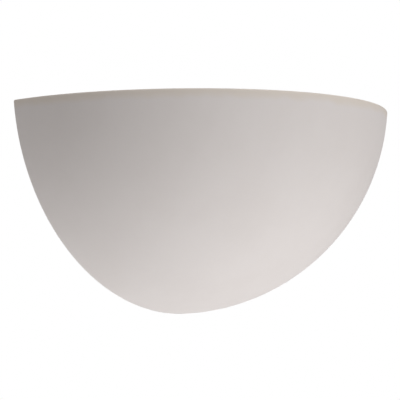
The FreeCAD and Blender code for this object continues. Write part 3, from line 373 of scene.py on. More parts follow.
@dataclass(frozen=True)
class Metal:
    """A bare metal with a fine drawn or cast grain and a little tarnish."""

    name: str
    body: Colour
    tarnish: Colour
    roughness: float
    grain: float = 0.0008
    stretch: Point = (1, 1, 1)
    tarnish_size: float = 0.006
    tarnish_share: float = 0.5
    scratch_depth: float = 0.00001
    grain_roughness: float = 0.12
    tarnish_roughness: float = 0.10

    def make(self) -> bpy.types.Material:
        """Build the material.

        Returns:
            The material.
        """
        material, graph = new_graph(self.name)
        clouds = graph.noise(self.tarnish_size, 4.0, 0.6).ramp(0.40, 0.75)
        fine = graph.noise(self.grain, 2.0, 0.6, self.stretch)
        graph.surface({
            "Base Color": graph.tint(clouds * self.tarnish_share, self.body, self.tarnish),
            "Metallic": 1.0,
            "Roughness": (
                self.roughness + (fine - 0.5) * self.grain_roughness
                + clouds * self.tarnish_roughness
            ),
            "Normal": graph.bump(fine, self.scratch_depth),
        })
        return material


@dataclass(frozen=True)
class Plain:
    """A moulded, painted or glazed stuff of one colour with soft shading in it."""

    name: str
    body: Colour
    shade: Colour
    roughness: float
    coat: float = 0.0
    coat_roughness: float = 0.05
    specular: float = 0.5
    subsurface: float = 0.0
    cloud_size: float = 0.010
    grain: float = 0.0006
    grain_depth: float = 0.0
    grain_roughness: float = 0.06
    subsurface_scale: float = 0.002

    def make(self) -> bpy.types.Material:
        """Build the material.

        Returns:
            The material.
        """
        material, graph = new_graph(self.name)
        clouds = graph.noise(self.cloud_size, 3.0).ramp(0.35, 0.75)
        fine = graph.noise(self.grain, 2.0)
        inputs: dict[str, Input] = {
            "Base Color": graph.tint(clouds, self.body, self.shade),
            "Roughness": self.roughness + (fine - 0.5) * self.grain_roughness,
            "Specular IOR Level": self.specular,
            "Coat Weight": self.coat,
            "Coat Roughness": self.coat_roughness,
            "Subsurface Weight": self.subsurface,
            "Subsurface Scale": self.subsurface_scale,
        }
        if self.grain_depth:
            inputs["Normal"] = graph.bump(fine, self.grain_depth)
        graph.surface(inputs)
        return material


@dataclass(frozen=True)
class StripedLead:
    """Green insulation with two yellow stripes that run along the lead."""

    name: str = "green_and_yellow_insulation"
    ground: Colour = (0.040, 0.27, 0.075)
    stripe: Colour = (0.78, 0.60, 0.035)
    stripe_from: float = 0.25
    stripe_soft: float = 0.06
    roughness: float = 0.42

    def make(self) -> bpy.types.Material:
        """Build the material.

        Returns:
            The material.
        """
        material, graph = new_graph(self.name)
        wave = graph.node("ShaderNodeAttribute", {"attribute_name": "stripe"}).outputs["Fac"]
        share = Shade(graph, wave).ramp(
            self.stripe_from - self.stripe_soft, self.stripe_from + self.stripe_soft
        )
        graph.surface({
            "Base Color": graph.tint(share, self.ground, self.stripe),
            "Roughness": self.roughness,
        })
        return material


class Slot(Enum):
    """The material slots."""

    BISQUE = "bisque"
    ZINC_STEEL = "zinc_plated_steel"
    RUBBER = "black_rubber"
    FIBRE = "red_fibre"
    BRASS = "brass"
    PORCELAIN = "porcelain"
    NYLON = "nylon"
    TINNED_COPPER = "tinned_copper"
    BROWN_LEAD = "brown_insulation"
    BLUE_LEAD = "blue_insulation"
    GREEN_LEAD = "green_insulation"
    OPAL_GLASS = "opal_glass"
    CAP_ALUMINIUM = "lamp_cap_aluminium"
    BLACK_GLASS = "black_glass"
    SOLDER = "solder"


Finish = Union[Bisque, Metal, Plain, StripedLead]


def finishes(rim_height: float) -> dict[Slot, Finish]:
    """The finish of each material slot.

    Args:
        rim_height: The height of the shell's rim.

    Returns:
        The finishes, by slot.
    """
    return {
        Slot.BISQUE: Bisque(rim_height),
        Slot.ZINC_STEEL: Metal(
            "zinc_plated_steel", (0.60, 0.61, 0.60), (0.42, 0.44, 0.45), 0.36, tarnish_size=0.018
        ),
        Slot.RUBBER: Plain("black_rubber", (0.022, 0.022, 0.023), (0.035, 0.034, 0.033), 0.72),
        Slot.FIBRE: Plain(
            "red_fibre", (0.33, 0.075, 0.045), (0.25, 0.050, 0.032), 0.85, grain_depth=0.00004
        ),
        Slot.BRASS: Metal("brass", (0.79, 0.58, 0.27), (0.50, 0.33, 0.14), 0.26),
        Slot.PORCELAIN: Plain(
            "glazed_porcelain", (0.80, 0.785, 0.74), (0.76, 0.745, 0.70), 0.22, 0.8, 0.06,
            subsurface=0.05,
        ),
        Slot.NYLON: Plain(
            "nylon", (0.76, 0.75, 0.70), (0.72, 0.71, 0.655), 0.45, subsurface=0.15
        ),
        Slot.TINNED_COPPER: Metal("tinned_copper", (0.70, 0.70, 0.69), (0.50, 0.50, 0.49), 0.30),
        Slot.BROWN_LEAD: Plain(
            "brown_insulation", (0.16, 0.065, 0.028), (0.14, 0.055, 0.024), 0.42
        ),
        Slot.BLUE_LEAD: Plain("blue_insulation", (0.028, 0.13, 0.42), (0.024, 0.11, 0.37), 0.42),
        Slot.GREEN_LEAD: StripedLead(),
        Slot.OPAL_GLASS: Plain(
            "opal_glass", (0.84, 0.835, 0.82), (0.82, 0.815, 0.80), 0.12, 0.5, 0.03, subsurface=0.2
        ),
        Slot.CAP_ALUMINIUM: Metal(
            "lamp_cap_aluminium", (0.80, 0.80, 0.79), (0.62, 0.62, 0.61), 0.28
        ),
        Slot.BLACK_GLASS: Plain("black_glass", (0.010, 0.010, 0.012), (0.016, 0.015, 0.018), 0.12),
        Slot.SOLDER: Metal("solder", (0.56, 0.56, 0.57), (0.40, 0.40, 0.41), 0.34),
    }


@dataclass
class Dresser:
    """Gives pieces the finish of their material slot."""

    materials: dict[Slot, bpy.types.Material] = field(default_factory=dict)

    def paint(self, made: Mapping[Slot, Finish]) -> None:
        """Build every finish's material."""
        for slot, finish in made.items():
            self.materials[slot] = finish.make()

    def dress(self, piece: bpy.types.Object, slot: Slot) -> None:
        """Give one piece its finish.

        Args:
            piece: The object to dress.
            slot: The material slot that it takes its finish from.
        """
        piece.data.materials.clear()
        piece.data.materials.append(self.materials[slot])
        LOG.info("%s: %s", piece.name, slot.value)

    def dress_nodes(self, slot: Slot, *names: str) -> None:
        """Give CAD nodes their finish.

        Args:
            slot: The material slot.
            names: The nodes' names.
        """
        for name in names:
            self.dress(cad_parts[name], slot)


# Mesh building


class Sketch:
    """The points and faces of one piece; points closer than a micrometre are welded."""

    weld = 1e-6

    def __init__(self) -> None:
        """Start with nothing."""
        self.points: list[Vector] = []
        self.faces: list[tuple[int, ...]] = []
        self.known: dict[tuple[int, int, int], int] = {}

    def point(self, place: Vector) -> int:
        """Add a point, or find the one that is already there.

        Args:
            place: Where the point is.

        Returns:
            The point's number.
        """
        key = tuple(round(number / self.weld) for number in place)
        if key not in self.known:
            self.known[key] = len(self.points)
            self.points.append(Vector(place))
        return self.known[key]

    def face(self, corners: Sequence[int]) -> None:
        """Add a face, without the corners that fall together.

        Args:
            corners: The corners' numbers, in order.
        """
        kept = [corner for turn, corner in enumerate(corners) if corner != corners[turn - 1]]
        if len(set(kept)) == len(kept) and len(kept) > 2:
            self.faces.append(tuple(kept))

    def grid(
        self, rows: Sequence[Sequence[Vector]], ring: bool = False, loop: bool = False
    ) -> None:
        """Add a skin over rows of points.

        Args:
            rows: Rows of equally many points.
            ring: Whether each row closes on itself.
            loop: Whether the last row joins the first.
        """
        numbered = [[self.point(place) for place in row] for row in rows]
        if loop:
            numbered.append(numbered[0])
        for near, far in zip(numbered, numbered[1:]):
            count = len(near)
            for index in range(count if ring else count - 1):
                beside = (index + 1) % count
                self.face((near[index], near[beside], far[beside], far[index]))

    def cap(self, ring: Sequence[Vector]) -> None:
        """Close a flat ring of points with one face."""
        self.face([self.point(place) for place in ring])

    def piece(self, name: str, crease: float = 32.0) -> bpy.types.Object:
        """Make the object.

        Args:
            name: The object's name.
            crease: The angle in degrees above which an edge stays sharp.

        Returns:
            The new object, in the scene.
        """
        mesh = bpy.data.meshes.new(name)
        mesh.from_pydata([tuple(place) for place in self.points], [], self.faces)
        mesh.validate()
        shape = bmesh.new()
        shape.from_mesh(mesh)
        bmesh.ops.recalc_face_normals(shape, faces=shape.faces)
        shape.to_mesh(mesh)
        shape.free()
        mesh.shade_smooth()
        mesh.set_sharp_from_angle(angle=math.radians(crease))
        made = bpy.data.objects.new(name, mesh)
        bpy.context.scene.collection.objects.link(made)
        return made


@dataclass(frozen=True)
class Axis:
    """An axis in space: pieces are turned about it and measured along it."""

    origin: Vector
    along: Vector

    def across(self) -> tuple[Vector, Vector]:
        """Two directions square to the axis and to each other.

        Returns:
            The two directions.
        """
        helper = Vector((0, 0, 1)) if abs(self.along.z) < 0.9 else Vector((1, 0, 0))
        first = self.along.cross(helper).normalized()
        return first, self.along.cross(first)

    def at(self, radius: float, turn: float, distance: float) -> Vector:
        """A point beside the axis.

        Args:
            radius: Its distance from the axis.
            turn: Its angle about the axis, in radians.
            distance: Its place along the axis.

        Returns:
            The point.
        """
        first, second = self.across()
        sideways = first * math.cos(turn) + second * math.sin(turn)
        return self.origin + sideways * radius + self.along * distance

    def ring(self, radius: float, distance: float, steps: int) -> list[Vector]:
        """A ring of points about the axis."""
        return [self.at(radius, 2 * math.pi * step / steps, distance) for step in range(steps)]


def spread(first: float, last: float, steps: int) -> list[float]:
    """Evenly spaced numbers with both ends.

    Args:
        first: The first number.
        last: The last number.
        steps: How many steps lie between them.

    Returns:
        One number more than there are steps.
    """
    return [first + (last - first) * step / steps for step in range(steps + 1)]


def turned(sketch: Sketch, axis: Axis, profile: Sequence[Pair], steps: int = 48) -> None:
    """Turn a profile about an axis.

    Args:
        sketch: The piece to add to.
        axis: The axis.
        profile: The profile's points, as radius and distance along the axis.
        steps: How many steps the turn has.
    """
    sketch.grid([axis.ring(radius, distance, steps) for radius, distance in profile], ring=True)


@dataclass(frozen=True)
class Thread:
    """A screw thread between two radii."""

    crest: float
    root: float
    pitch: float
    rounded: bool = False

    def radius(self, turn: float, distance: float) -> float:
        """The thread's radius at one place.

        Args:
            turn: The angle about the axis, in radians.
            distance: The place along the axis.

        Returns:
            The radius.
        """
        phase = (distance / self.pitch - turn / (2 * math.pi)) % 1.0
        if self.rounded:
            height = (1 - math.cos(2 * math.pi * phase)) / 2
        else:
            height = 1 - abs(2 * phase - 1)
        return self.root + (self.crest - self.root) * height

    def skin(
        self, sketch: Sketch, axis: Axis, start: float, end: float, steps: int = 24, fine: int = 6
    ) -> None:
        """Add the threaded skin; it fades to its root at both ends.

        Args:
            sketch: The piece to add to.
            axis: The thread's axis.
            start: Where it starts along the axis.
            end: Where it ends.
            steps: How many steps one turn has.
            fine: How many rows one pitch has.
        """
        rows = []
        count = max(2, round(abs(end - start) / self.pitch * fine))
        fade = self.pitch
        for distance in spread(start, end, count):
            room = min(1.0, abs(distance - start) / fade, abs(end - distance) / fade)
            row = []
            for step in range(steps):
                turn = 2 * math.pi * step / steps
                radius = self.root + (self.radius(turn, distance) - self.root) * room
                row.append(axis.at(radius, turn, distance))
            rows.append(row)
        sketch.grid(rows, ring=True)


TOWARDS_ROOM = Vector((0, -1, 0))
UPWARDS = Vector((0, 0, 1))


def middle_of(node: str) -> Vector:
    """The middle of a CAD node's box."""
    low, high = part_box(node)
    return (low + high) / 2


def extent(node: str) -> Vector:
    """The size of a CAD node's box."""
    low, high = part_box(node)
    return high - low


def out_of_wall(node: str, through: str = "") -> Axis:
    """The axis out of the wall that starts at the back of a CAD node.

    Args:
        node: The node.
        through: The node whose middle the axis runs through, if it isn't the same.

    Returns:
        The axis.
    """
    centre = middle_of(through or node)
    return Axis(Vector((centre.x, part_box(node)[1].y, centre.z)), TOWARDS_ROOM)


def upright(node: str) -> Axis:
    """The upright axis through a CAD node's middle, from its bottom."""
    centre = middle_of(node)
    return Axis(Vector((centre.x, centre.y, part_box(node)[0].z)), UPWARDS)


@dataclass
class Assembly:
    """What every sub-assembly shares: the dresser, and a way to add its finished pieces."""

    dresser: Dresser

    def add(
        self, name: str, node: str | None, sketch: Sketch, slot: Slot,
        body: str = "fixture", crease: float = 32.0,
    ) -> bpy.types.Object:
        """Add a finished piece.

        Args:
            name: The piece's name.
            node: The CAD node that it stands for, or None if it is extra.
            sketch: Its points and faces.
            slot: Its material slot.
            body: The body that it moves with.
            crease: The angle in degrees above which an edge stays sharp.

        Returns:
            The piece.
        """
        piece = sketch.piece(name, crease)
        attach(piece, body)
        if node:
            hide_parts(node)
        self.dresser.dress(piece, slot)
        return piece


# Ceramic shell


@dataclass
class CeramicShell(Assembly):
    """The cast bowl: a ball cut flat at its rim and at the wall, with a flange and two ears."""

    ball_radius: float = 0.180
    centre_behind_wall: float = 0.005
    rim_below_centre: float = 0.014
    wall: float = 0.007
    rim_round: float = 0.0016
    flange_width: float = 0.012
    flange_depth: float = 0.007
    flange_below_rim: float = 0.0016
    ear_radius: float = 0.013
    ear_hole: float = 0.00275
    ear_edge: float = 0.002
    ear_widening: float = 0.005
    ear_widens_over: float = 0.016
    ear_root_clearance: float = 0.003
    ear_root_round: float = 0.003
    ear_root_share: float = 0.985
    ear_root_steps: int = 16
    ear_flare: float = 2.2
    ear_columns: int = 14
    ear_edge_steps: int = 5
    ear_flat_from: float = 1.4
    back_edge_share: float = 0.4
    hole_bevel_share: float = 0.2
    rim_steps: int = 8
    end_steps: int = 24
    steps_past_hole: int = 4
    columns: int = 168
    edge_columns: int = 6
    rows: int = 78

    def __post_init__(self) -> None:
        """Take the rim's height and the ears' places from the frame."""
        self.rim_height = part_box("ceramic_shell")[1].z
        self.centre_height = self.rim_height + self.rim_below_centre
        self.inner_radius = self.ball_radius - self.wall
        self.stud_x = sum(corner.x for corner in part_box("clamp_stud_right")) / 2
        self.ear_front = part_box("nut_washer_right")[1].y
        self.ear_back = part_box("seat_washer_right")[0].y

    def half_turn(self, radius: float, cut: float) -> float:
        """How far a level circle of the ball turns from the front before it meets a plane.

        Args:
            radius: The circle's radius.
            cut: How far the plane lies in front of the wall.

        Returns:
            The angle in radians.
        """
        reach = (self.centre_behind_wall + cut) / max(radius, 1e-9)
        return math.acos(min(1.0, max(-1.0, reach)))

    def level(self, radius: float, height: float, whole: bool) -> list[Vector]:
        """One level row of the bowl, from left to right.

        Args:
            radius: The row's radius about the bowl's upright axis.
            height: The row's height.
            whole: Whether the row runs to the wall, and not only to the flange.

        Returns:
            The row's points.
        """
        inner_turn = self.half_turn(radius, self.flange_depth)
        turns = spread(-inner_turn, inner_turn, self.columns)
        if whole:
            outer_turn = self.half_turn(radius, 0.0)
            turns = (
                spread(-outer_turn, -inner_turn, self.edge_columns)[:-1]
                + turns
                + spread(inner_turn, outer_turn, self.edge_columns)[1:]
            )
        return [
            Vector((
                radius * math.sin(turn), self.centre_behind_wall - radius * math.cos(turn), height
            ))
            for turn in turns
        ]

    def wall_angles(self) -> list[float]:
        """The angles at which the rows meet the wall, from under the rim to the bottom.

        Returns:
            The angles in radians.
        """
        meets = math.sqrt(
            self.inner_radius**2 - (self.centre_behind_wall + self.flange_depth) ** 2
        )
        top = math.asin((self.rim_below_centre + self.flange_below_rim) / meets)
        return spread(top, math.pi / 2, self.rows)

    def ball_rows(self, ball_radius: float, cut: float) -> list[Pair]:
        """The radius and height of each row on a ball.

        Args:
            ball_radius: The ball's radius.
            cut: How far in front of the wall the rows' ends are spaced.

        Returns:
            The rows, from under the rim to the bottom.
        """
        meets = math.sqrt(ball_radius**2 - (self.centre_behind_wall + cut) ** 2)
        rows = []
        for angle in self.wall_angles():
            drop = meets * math.sin(angle)
            rows.append((math.sqrt(max(ball_radius**2 - drop**2, 0.0)), self.centre_height - drop))
        return rows

    def rim_rows(self, outer: bool) -> list[Pair]:
        """The rows of one rounded edge of the rim.

        Args:
            outer: Whether it is the outer edge.

        Returns:
            The rows' radius and height, from the ball to the flat rim.
        """
        ball_radius = self.ball_radius if outer else self.inner_radius
        side = 1 if outer else -1
        height = self.rim_height - self.rim_round
        drop = self.centre_height - height
        reach = ball_radius - side * self.rim_round
        middle = math.sqrt(reach**2 - drop**2)
        first = math.atan2(-drop * side, middle * side)
        if not outer:
            first = math.atan2(drop, -middle)
        rows = []
        for angle in spread(first, math.pi / 2, self.rim_steps):
            rows.append((
                middle + self.rim_round * math.cos(angle), height + self.rim_round * math.sin(angle)
            ))
        return rows

    def skin(self, sketch: Sketch) -> None:
        """Add the bowl's outside, rim and inside.

        Args:
            sketch: The piece to add to.
        """
        outside = self.ball_rows(self.ball_radius, 0.0)
        inside = self.ball_rows(self.inner_radius, self.flange_depth)
        over_rim = (
            outside[::-1] + self.rim_rows(True) + self.rim_rows(False)[::-1] + inside[:1]
        )
        sketch.grid([self.level(radius, height, True) for radius, height in over_rim])
        sketch.grid([self.level(radius, height, False) for radius, height in inside])
        for end in (0, -1):
            rim_end = [self.level(radius, height, True)[end] for radius, height in (
                outside[:1] + self.rim_rows(True) + self.rim_rows(False)[::-1] + inside[:1]
            )]
            sketch.cap(rim_end)

    def flange(self, sketch: Sketch, side: int) -> None:
        """Add one half of the flange that lies against the wall.

        Args:
            sketch: The piece to add to.
            side: 1 for the right half, -1 for the left.
        """
        edge = math.sqrt(self.ball_radius**2 - self.centre_behind_wall**2)
        window = edge - self.flange_width
        meets = math.sqrt(
            self.inner_radius**2 - (self.centre_behind_wall + self.flange_depth) ** 2
        )
        rows = []
        for angle in self.wall_angles():
            row = []
            for radius, depth in (
                (meets, self.flange_depth), (window, self.flange_depth), (window, 0.0), (edge, 0.0)
            ):
                row.append(Vector((
                    side * radius * math.cos(angle), -depth,
                    self.centre_height - radius * math.sin(angle),
                )))
            rows.append(row)
        sketch.grid(rows)
        top_radius, top_height = self.ball_rows(self.inner_radius, self.flange_depth)[0]
        row = self.level(top_radius, top_height, True)
        ends = row[-self.edge_columns - 1:] if side > 0 else row[self.edge_columns::-1]
        sketch.cap([*ends, rows[0][2], rows[0][1]])
        sketch.cap([rows[0][3], ends[-1], rows[0][2]])

    def wall_x(self, height: float, y: float) -> float:
        """How far to the side the middle of the cast wall is, at a height and a depth.

        Args:
            height: The height.
            y: The place in front of the wall, below 0.

        Returns:
            The distance from the middle.
        """
        reach = self.inner_radius + self.wall / 2
        drop = self.centre_height - height
        return math.sqrt(reach**2 - drop**2 - (self.centre_behind_wall - y) ** 2)

    def ear_edge_line(self, upward: int) -> list[Pair]:
        """The ear's upper or lower edge, from its round end to the wall, flaring softly.

        Args:
            upward: 1 for the upper edge, -1 for the lower.

        Returns:
            The edge's places, as X and Z.
        """
        wide = self.ear_radius + self.ear_widening
        end_x = self.wall_x(upward * wide, self.ear_front)
        line = []
        for x in spread(self.stud_x, end_x, self.ear_columns)[1:]:
            share = max(0.0, 1 - (end_x - x) / self.ear_widens_over)
            line.append((x, upward * (self.ear_radius + self.ear_widening * share**self.ear_flare)))
        return line

    def ear(self, sketch: Sketch, side: int) -> None:
        """Add one ear: a thick rounded tongue with a hole, cast onto the wall.

        Args:
            sketch: The piece to add to.
            side: 1 for the right ear, -1 for the left.
        """
        half_turns = spread(math.pi / 2, math.pi * 1.5, self.end_steps)
        normals = [(math.cos(turn), math.sin(turn)) for turn in half_turns]
        round_end = [
            ((self.stud_x + self.ear_radius * out_x, self.ear_radius * out_z), (out_x, out_z))
            for out_x, out_z in normals
        ]
        lower = [(place, (0.0, -1.0)) for place in self.ear_edge_line(-1)]
        upper = [(place, (0.0, 1.0)) for place in self.ear_edge_line(1)]
        edge, small = self.ear_edge, self.ear_edge * self.back_edge_share
        path = [(edge * self.ear_flat_from, self.ear_front)]
        path += [
            (edge * (1 - math.sin(turn)), self.ear_front + edge * (1 - math.cos(turn)))
            for turn in spread(0.0, math.pi / 2, self.ear_edge_steps)
        ]
        path += [
            (0.0, self.ear_back - small), (small * 0.3, self.ear_back - small * 0.3),
            (small, self.ear_back), (small * 2, self.ear_back),
        ]
        rows = [
            [
                Vector((side * (x - inset * out_x), y, z - inset * out_z))
                for (x, z), (out_x, out_z) in round_end + lower + upper[::-1]
            ]
            for inset, y in path
        ]
        sketch.grid(rows, ring=True)
        count, past = len(lower), self.steps_past_hole
        around = []
        for row in (rows[-1], rows[0]):
            low, high = row[len(round_end):-count], row[:-count - 1:-1]
            for step in range(past, count - 1):
                sketch.cap([low[step], low[step + 1], high[step + 1], high[step]])
            around.append(row[:len(round_end)] + low[:past + 1] + high[past::-1])
        turns = half_turns + spread(
            math.pi * 1.5, math.pi * 2.5, len(around[0]) - self.end_steps
        )[1:-1]
        bevel = edge * self.hole_bevel_share
        bore = [
            [
                Vector((side * (self.stud_x + radius * math.cos(turn)), y, radius * math.sin(turn)))
                for turn in turns
            ]
            for radius, y in (
                (self.ear_hole + bevel, self.ear_back), (self.ear_hole, self.ear_back - bevel),
                (self.ear_hole, self.ear_front + bevel), (self.ear_hole + bevel, self.ear_front),
            )
        ]
        sketch.grid([around[0], *bore, around[1]], ring=True)

    def ear_root(self, sketch: Sketch, side: int) -> None:
        """Add the thick root that joins one ear to the flange behind it.

        Args:
            sketch: The piece to add to.
            side: 1 for the right ear, -1 for the left.
        """
        near_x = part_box("wall_bracket")[1].x + self.ear_root_clearance
        front = (self.ear_front + self.ear_back) / 2
        back = -self.flange_depth / 2
        half = self.ear_radius * self.ear_root_share
        corner = self.ear_root_round
        profiles = []
        for turn in spread(-math.pi / 2, math.pi / 2, self.ear_root_steps):
            z = half * math.sin(turn)
            past = max(0.0, abs(z) - half + corner)
            start_x = near_x + corner - math.sqrt(corner**2 - past**2)
            far_x = self.wall_x(z, back)
            profiles.append([
                Vector((side * x, y, z))
                for x, y in (
                    (start_x, front), (start_x, back - corner * 0.5),
                    (start_x + corner * 0.15, back - corner * 0.15), (start_x + corner * 0.5, back),
                    (far_x, back), (far_x, front),
                )
            ])
        sketch.grid(profiles, ring=True)
        sketch.cap(profiles[0])
        sketch.cap(profiles[-1])

    def make(self) -> None:
        """Build and dress the shell."""
        sketch = Sketch()
        self.skin(sketch)
        for side in (1, -1):
            self.flange(sketch, side)
            self.ear(sketch, side)
            self.ear_root(sketch, side)
        self.add("cast_shell", "ceramic_shell", sketch, Slot.BISQUE, crease=40.0)


# Small turned and pressed parts


M3 = Thread(0.0015, 0.0012, 0.0005)
M4 = Thread(0.002, 0.00165, 0.0007)


@dataclass(frozen=True)
class SlottedScrew:
    """A screw with a slotted pan head; its axis starts under the head and points out of it."""

    axis: Axis
    head_radius: float
    head_height: float
    thread: Thread
    length: float
    slot_turn: float = 0.4
    slot_share: float = 0.17
    slot_depth_share: float = 0.5
    flatness: int = 7
    fall: float = 0.4
    tip_share: float = 0.4
    tip_limit: float = 0.2
    point_share: float = 0.6
    steps: int = 24

    def crown(self, reach: float) -> float:
        """The height of the head at a distance from its middle."""
        share = min(1.0, reach / self.head_radius)
        return self.head_height * (1 - share**self.flatness) ** self.fall

    def head(self, sketch: Sketch) -> None:
        """Add the slotted head.

        Args:
            sketch: The piece to add to.
        """
        edge = self.head_radius * self.slot_share
        floor = self.head_height * (1 - self.slot_depth_share)
        side_turns = spread(math.asin(self.slot_share), math.pi / 2, 7)
        beside = [(self.head_radius * math.sin(turn), False) for turn in side_turns]
        strips = [(-across, sunk) for across, sunk in beside[::-1]]
        strips += [(-edge, True), (edge, True)] + beside
        rows = []
        for across, sunk in strips:
            half = math.sqrt(max(0.0, self.head_radius**2 - across**2))
            row = []
            for turn in spread(-math.pi / 2, math.pi / 2, 16):
                along = half * math.sin(turn)
                height = self.crown(math.hypot(across, along))
                if sunk:
                    height = min(height, floor)
                row.append(self.beside(across, along, height))
            rows.append(row)
        sketch.grid(rows)
        sketch.cap([row[0] for row in rows] + [row[-1] for row in rows[::-1]])

    def beside(self, across: float, along: float, height: float) -> Vector:
        """A point of the head, measured across the slot, along it and up from under the head."""
        turn = math.atan2(along, across) + self.slot_turn
        return self.axis.at(math.hypot(across, along), turn, height)

    def add(self, sketch: Sketch) -> None:
        """Add the head, the threaded shank and its tip.

        Args:
            sketch: The piece to add to.
        """
        self.head(sketch)
        tip = min(self.thread.root * self.tip_share, self.length * self.tip_limit)
        self.thread.skin(sketch, self.axis, 0.0, tip - self.length)
        point = self.thread.root * self.point_share
        ends = [(self.thread.root, tip - self.length), (point, -self.length)]
        turned(sketch, self.axis, ends, self.steps)
        sketch.cap(self.axis.ring(point, -self.length, self.steps))


@dataclass(frozen=True)
class Stud:
    """A threaded stud with a flat round head; its axis runs from the head to the tip."""

    axis: Axis
    thread: Thread
    length: float
    head_radius: float
    head_height: float
    neck: float
    bevel: float = 0.0
    tip: float = 0.0005
    tip_share: float = 0.75
    steps: int = 36

    def add(self, sketch: Sketch) -> None:
        """Add the head, the thread and the tip.

        Args:
            sketch: The piece to add to.
        """
        root, shoulder = self.thread.root, self.length - self.tip
        point = root * self.tip_share
        sketch.cap(self.axis.ring(self.head_radius - self.bevel, 0.0, self.steps))
        turned(sketch, self.axis, [
            (self.head_radius - self.bevel, 0.0), (self.head_radius, self.bevel),
            (self.head_radius, self.head_height), (root, self.head_height), (root, self.neck),
        ], self.steps)
        self.thread.skin(sketch, self.axis, self.neck, shoulder, self.steps)
        turned(sketch, self.axis, [(root, shoulder), (point, self.length)], self.steps)
        sketch.cap(self.axis.ring(point, self.length, self.steps))


@dataclass(frozen=True)
class HexNut:
    """A six-sided nut with its corners chamfered; its axis starts at one face."""

    axis: Axis
    flats: float
    thickness: float
    bore: float
    turn: float = 0.0
    steps: int = 72
    face_share: float = 0.485
    chamfer: float = math.pi / 6
    bevel_share: float = 0.06
    lead_in_share: float = 1.12

    def side(self, turn: float, above_face: float) -> float:
        """How far the nut reaches, at an angle and a height above its nearer face.

        Args:
            turn: The angle about the axis, in radians.
            above_face: The height above the nearer face.

        Returns:
            The reach from the axis.
        """
        sixth = math.pi / 3
        from_flat = (turn + self.turn) % sixth - sixth / 2
        chamfer = self.flats * self.face_share + above_face / math.tan(self.chamfer)
        return min(self.flats / 2 / math.cos(from_flat), chamfer)

    def ring(self, distance: float) -> list[Vector]:
        """A ring of points round the nut.

        Args:
            distance: The place along the axis.

        Returns:
            The points.
        """
        above_face = min(distance, self.thickness - distance)
        turns = [2 * math.pi * step / self.steps for step in range(self.steps)]
        return [self.axis.at(self.side(turn, above_face), turn, distance) for turn in turns]

    def add(self, sketch: Sketch) -> None:
        """Add the nut.

        Args:
            sketch: The piece to add to.
        """
        bevel = self.flats * self.bevel_share
        lead_in = self.bore * self.lead_in_share
        rows = [
            self.axis.ring(self.bore, lead_in - self.bore, self.steps),
            self.axis.ring(lead_in, 0.0, self.steps),
        ]
        rows += [self.ring(distance) for distance in spread(0.0, bevel, 3)]
        rows += [self.ring(self.thickness - distance) for distance in spread(bevel, 0.0, 3)]
        rows += [
            self.axis.ring(lead_in, self.thickness, self.steps),
            self.axis.ring(self.bore, self.thickness - lead_in + self.bore, self.steps),
        ]
        sketch.grid(rows, ring=True, loop=True)


@dataclass(frozen=True)
class SpringWasher:
    """A split spring washer, pressed flat; its axis starts at one face."""

    axis: Axis
    inner: float
    outer: float
    thickness: float
    split: float = 0.10
    slant: float = 0.10

    def add(self, sketch: Sketch) -> None:
        """Add the washer.

        Args:
            sketch: The piece to add to.
        """
        rows = []
        for turn in spread(self.split, 2 * math.pi - self.split, 40):
            rows.append([
                self.axis.at(self.inner, turn, 0.0),
                self.axis.at(self.outer, turn, 0.0),
                self.axis.at(self.outer, turn + self.slant, self.thickness),
                self.axis.at(self.inner, turn + self.slant, self.thickness),
            ])
        sketch.grid(rows, ring=True)
        sketch.cap(rows[0])
        sketch.cap(rows[-1])


def bars(
    sketch: Sketch, strokes: Sequence[tuple[Vector, Vector]], thick: float, raise_by: Vector
) -> None:
    """Add raised marks made of straight bars.

    Args:
        sketch: The piece to add to.
        strokes: The ends of each bar's middle line.
        thick: The bars' thickness.
        raise_by: How far the bars stand out, and in which direction.
    """
    for start, end in strokes:
        side = (end - start).cross(raise_by).normalized() * thick / 2
        reach = (end - start).normalized() * thick / 2
        foot = [start - reach - side, start - reach + side, end + reach + side, end + reach - side]
        top = [place + raise_by for place in foot]
        sketch.grid([foot, top], ring=True)
        sketch.cap(top)
        sketch.cap(foot)


# Bracket and clamps


@dataclass
class WallBracket(Assembly):
    """The pressed steel bracket with its grommet and the two clamp studs that carry the shell."""

    head_radius: float = 0.00375
    head_bevel_share: float = 0.12
    neck: float = 0.004
    sheet: float = 0.0012

    def stud(self, side: str) -> None:
        """Build one clamp stud, which is pressed into the bracket from behind.

        Args:
            side: left or right.
        """
        node = f"clamp_stud_{side}"
        sketch = Sketch()
        Stud(
            out_of_wall(node), M4, extent(node).y, self.head_radius,
            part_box(node)[1].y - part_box("wall_bracket")[0].y - self.sheet, self.neck,
            self.head_radius * self.head_bevel_share,
        ).add(sketch)
        self.add(f"threaded_{node}", node, sketch, Slot.ZINC_STEEL)

    def make(self) -> None:
        """Build the studs and dress the bracket, the grommet and the washers."""
        for side in ("left", "right"):
            self.stud(side)
        self.dresser.dress_nodes(Slot.ZINC_STEEL, "wall_bracket")
        self.dresser.dress_nodes(
            Slot.RUBBER, "cable_grommet", "seat_washer_left", "seat_washer_right"
        )
        self.dresser.dress_nodes(Slot.FIBRE, "nut_washer_left", "nut_washer_right")


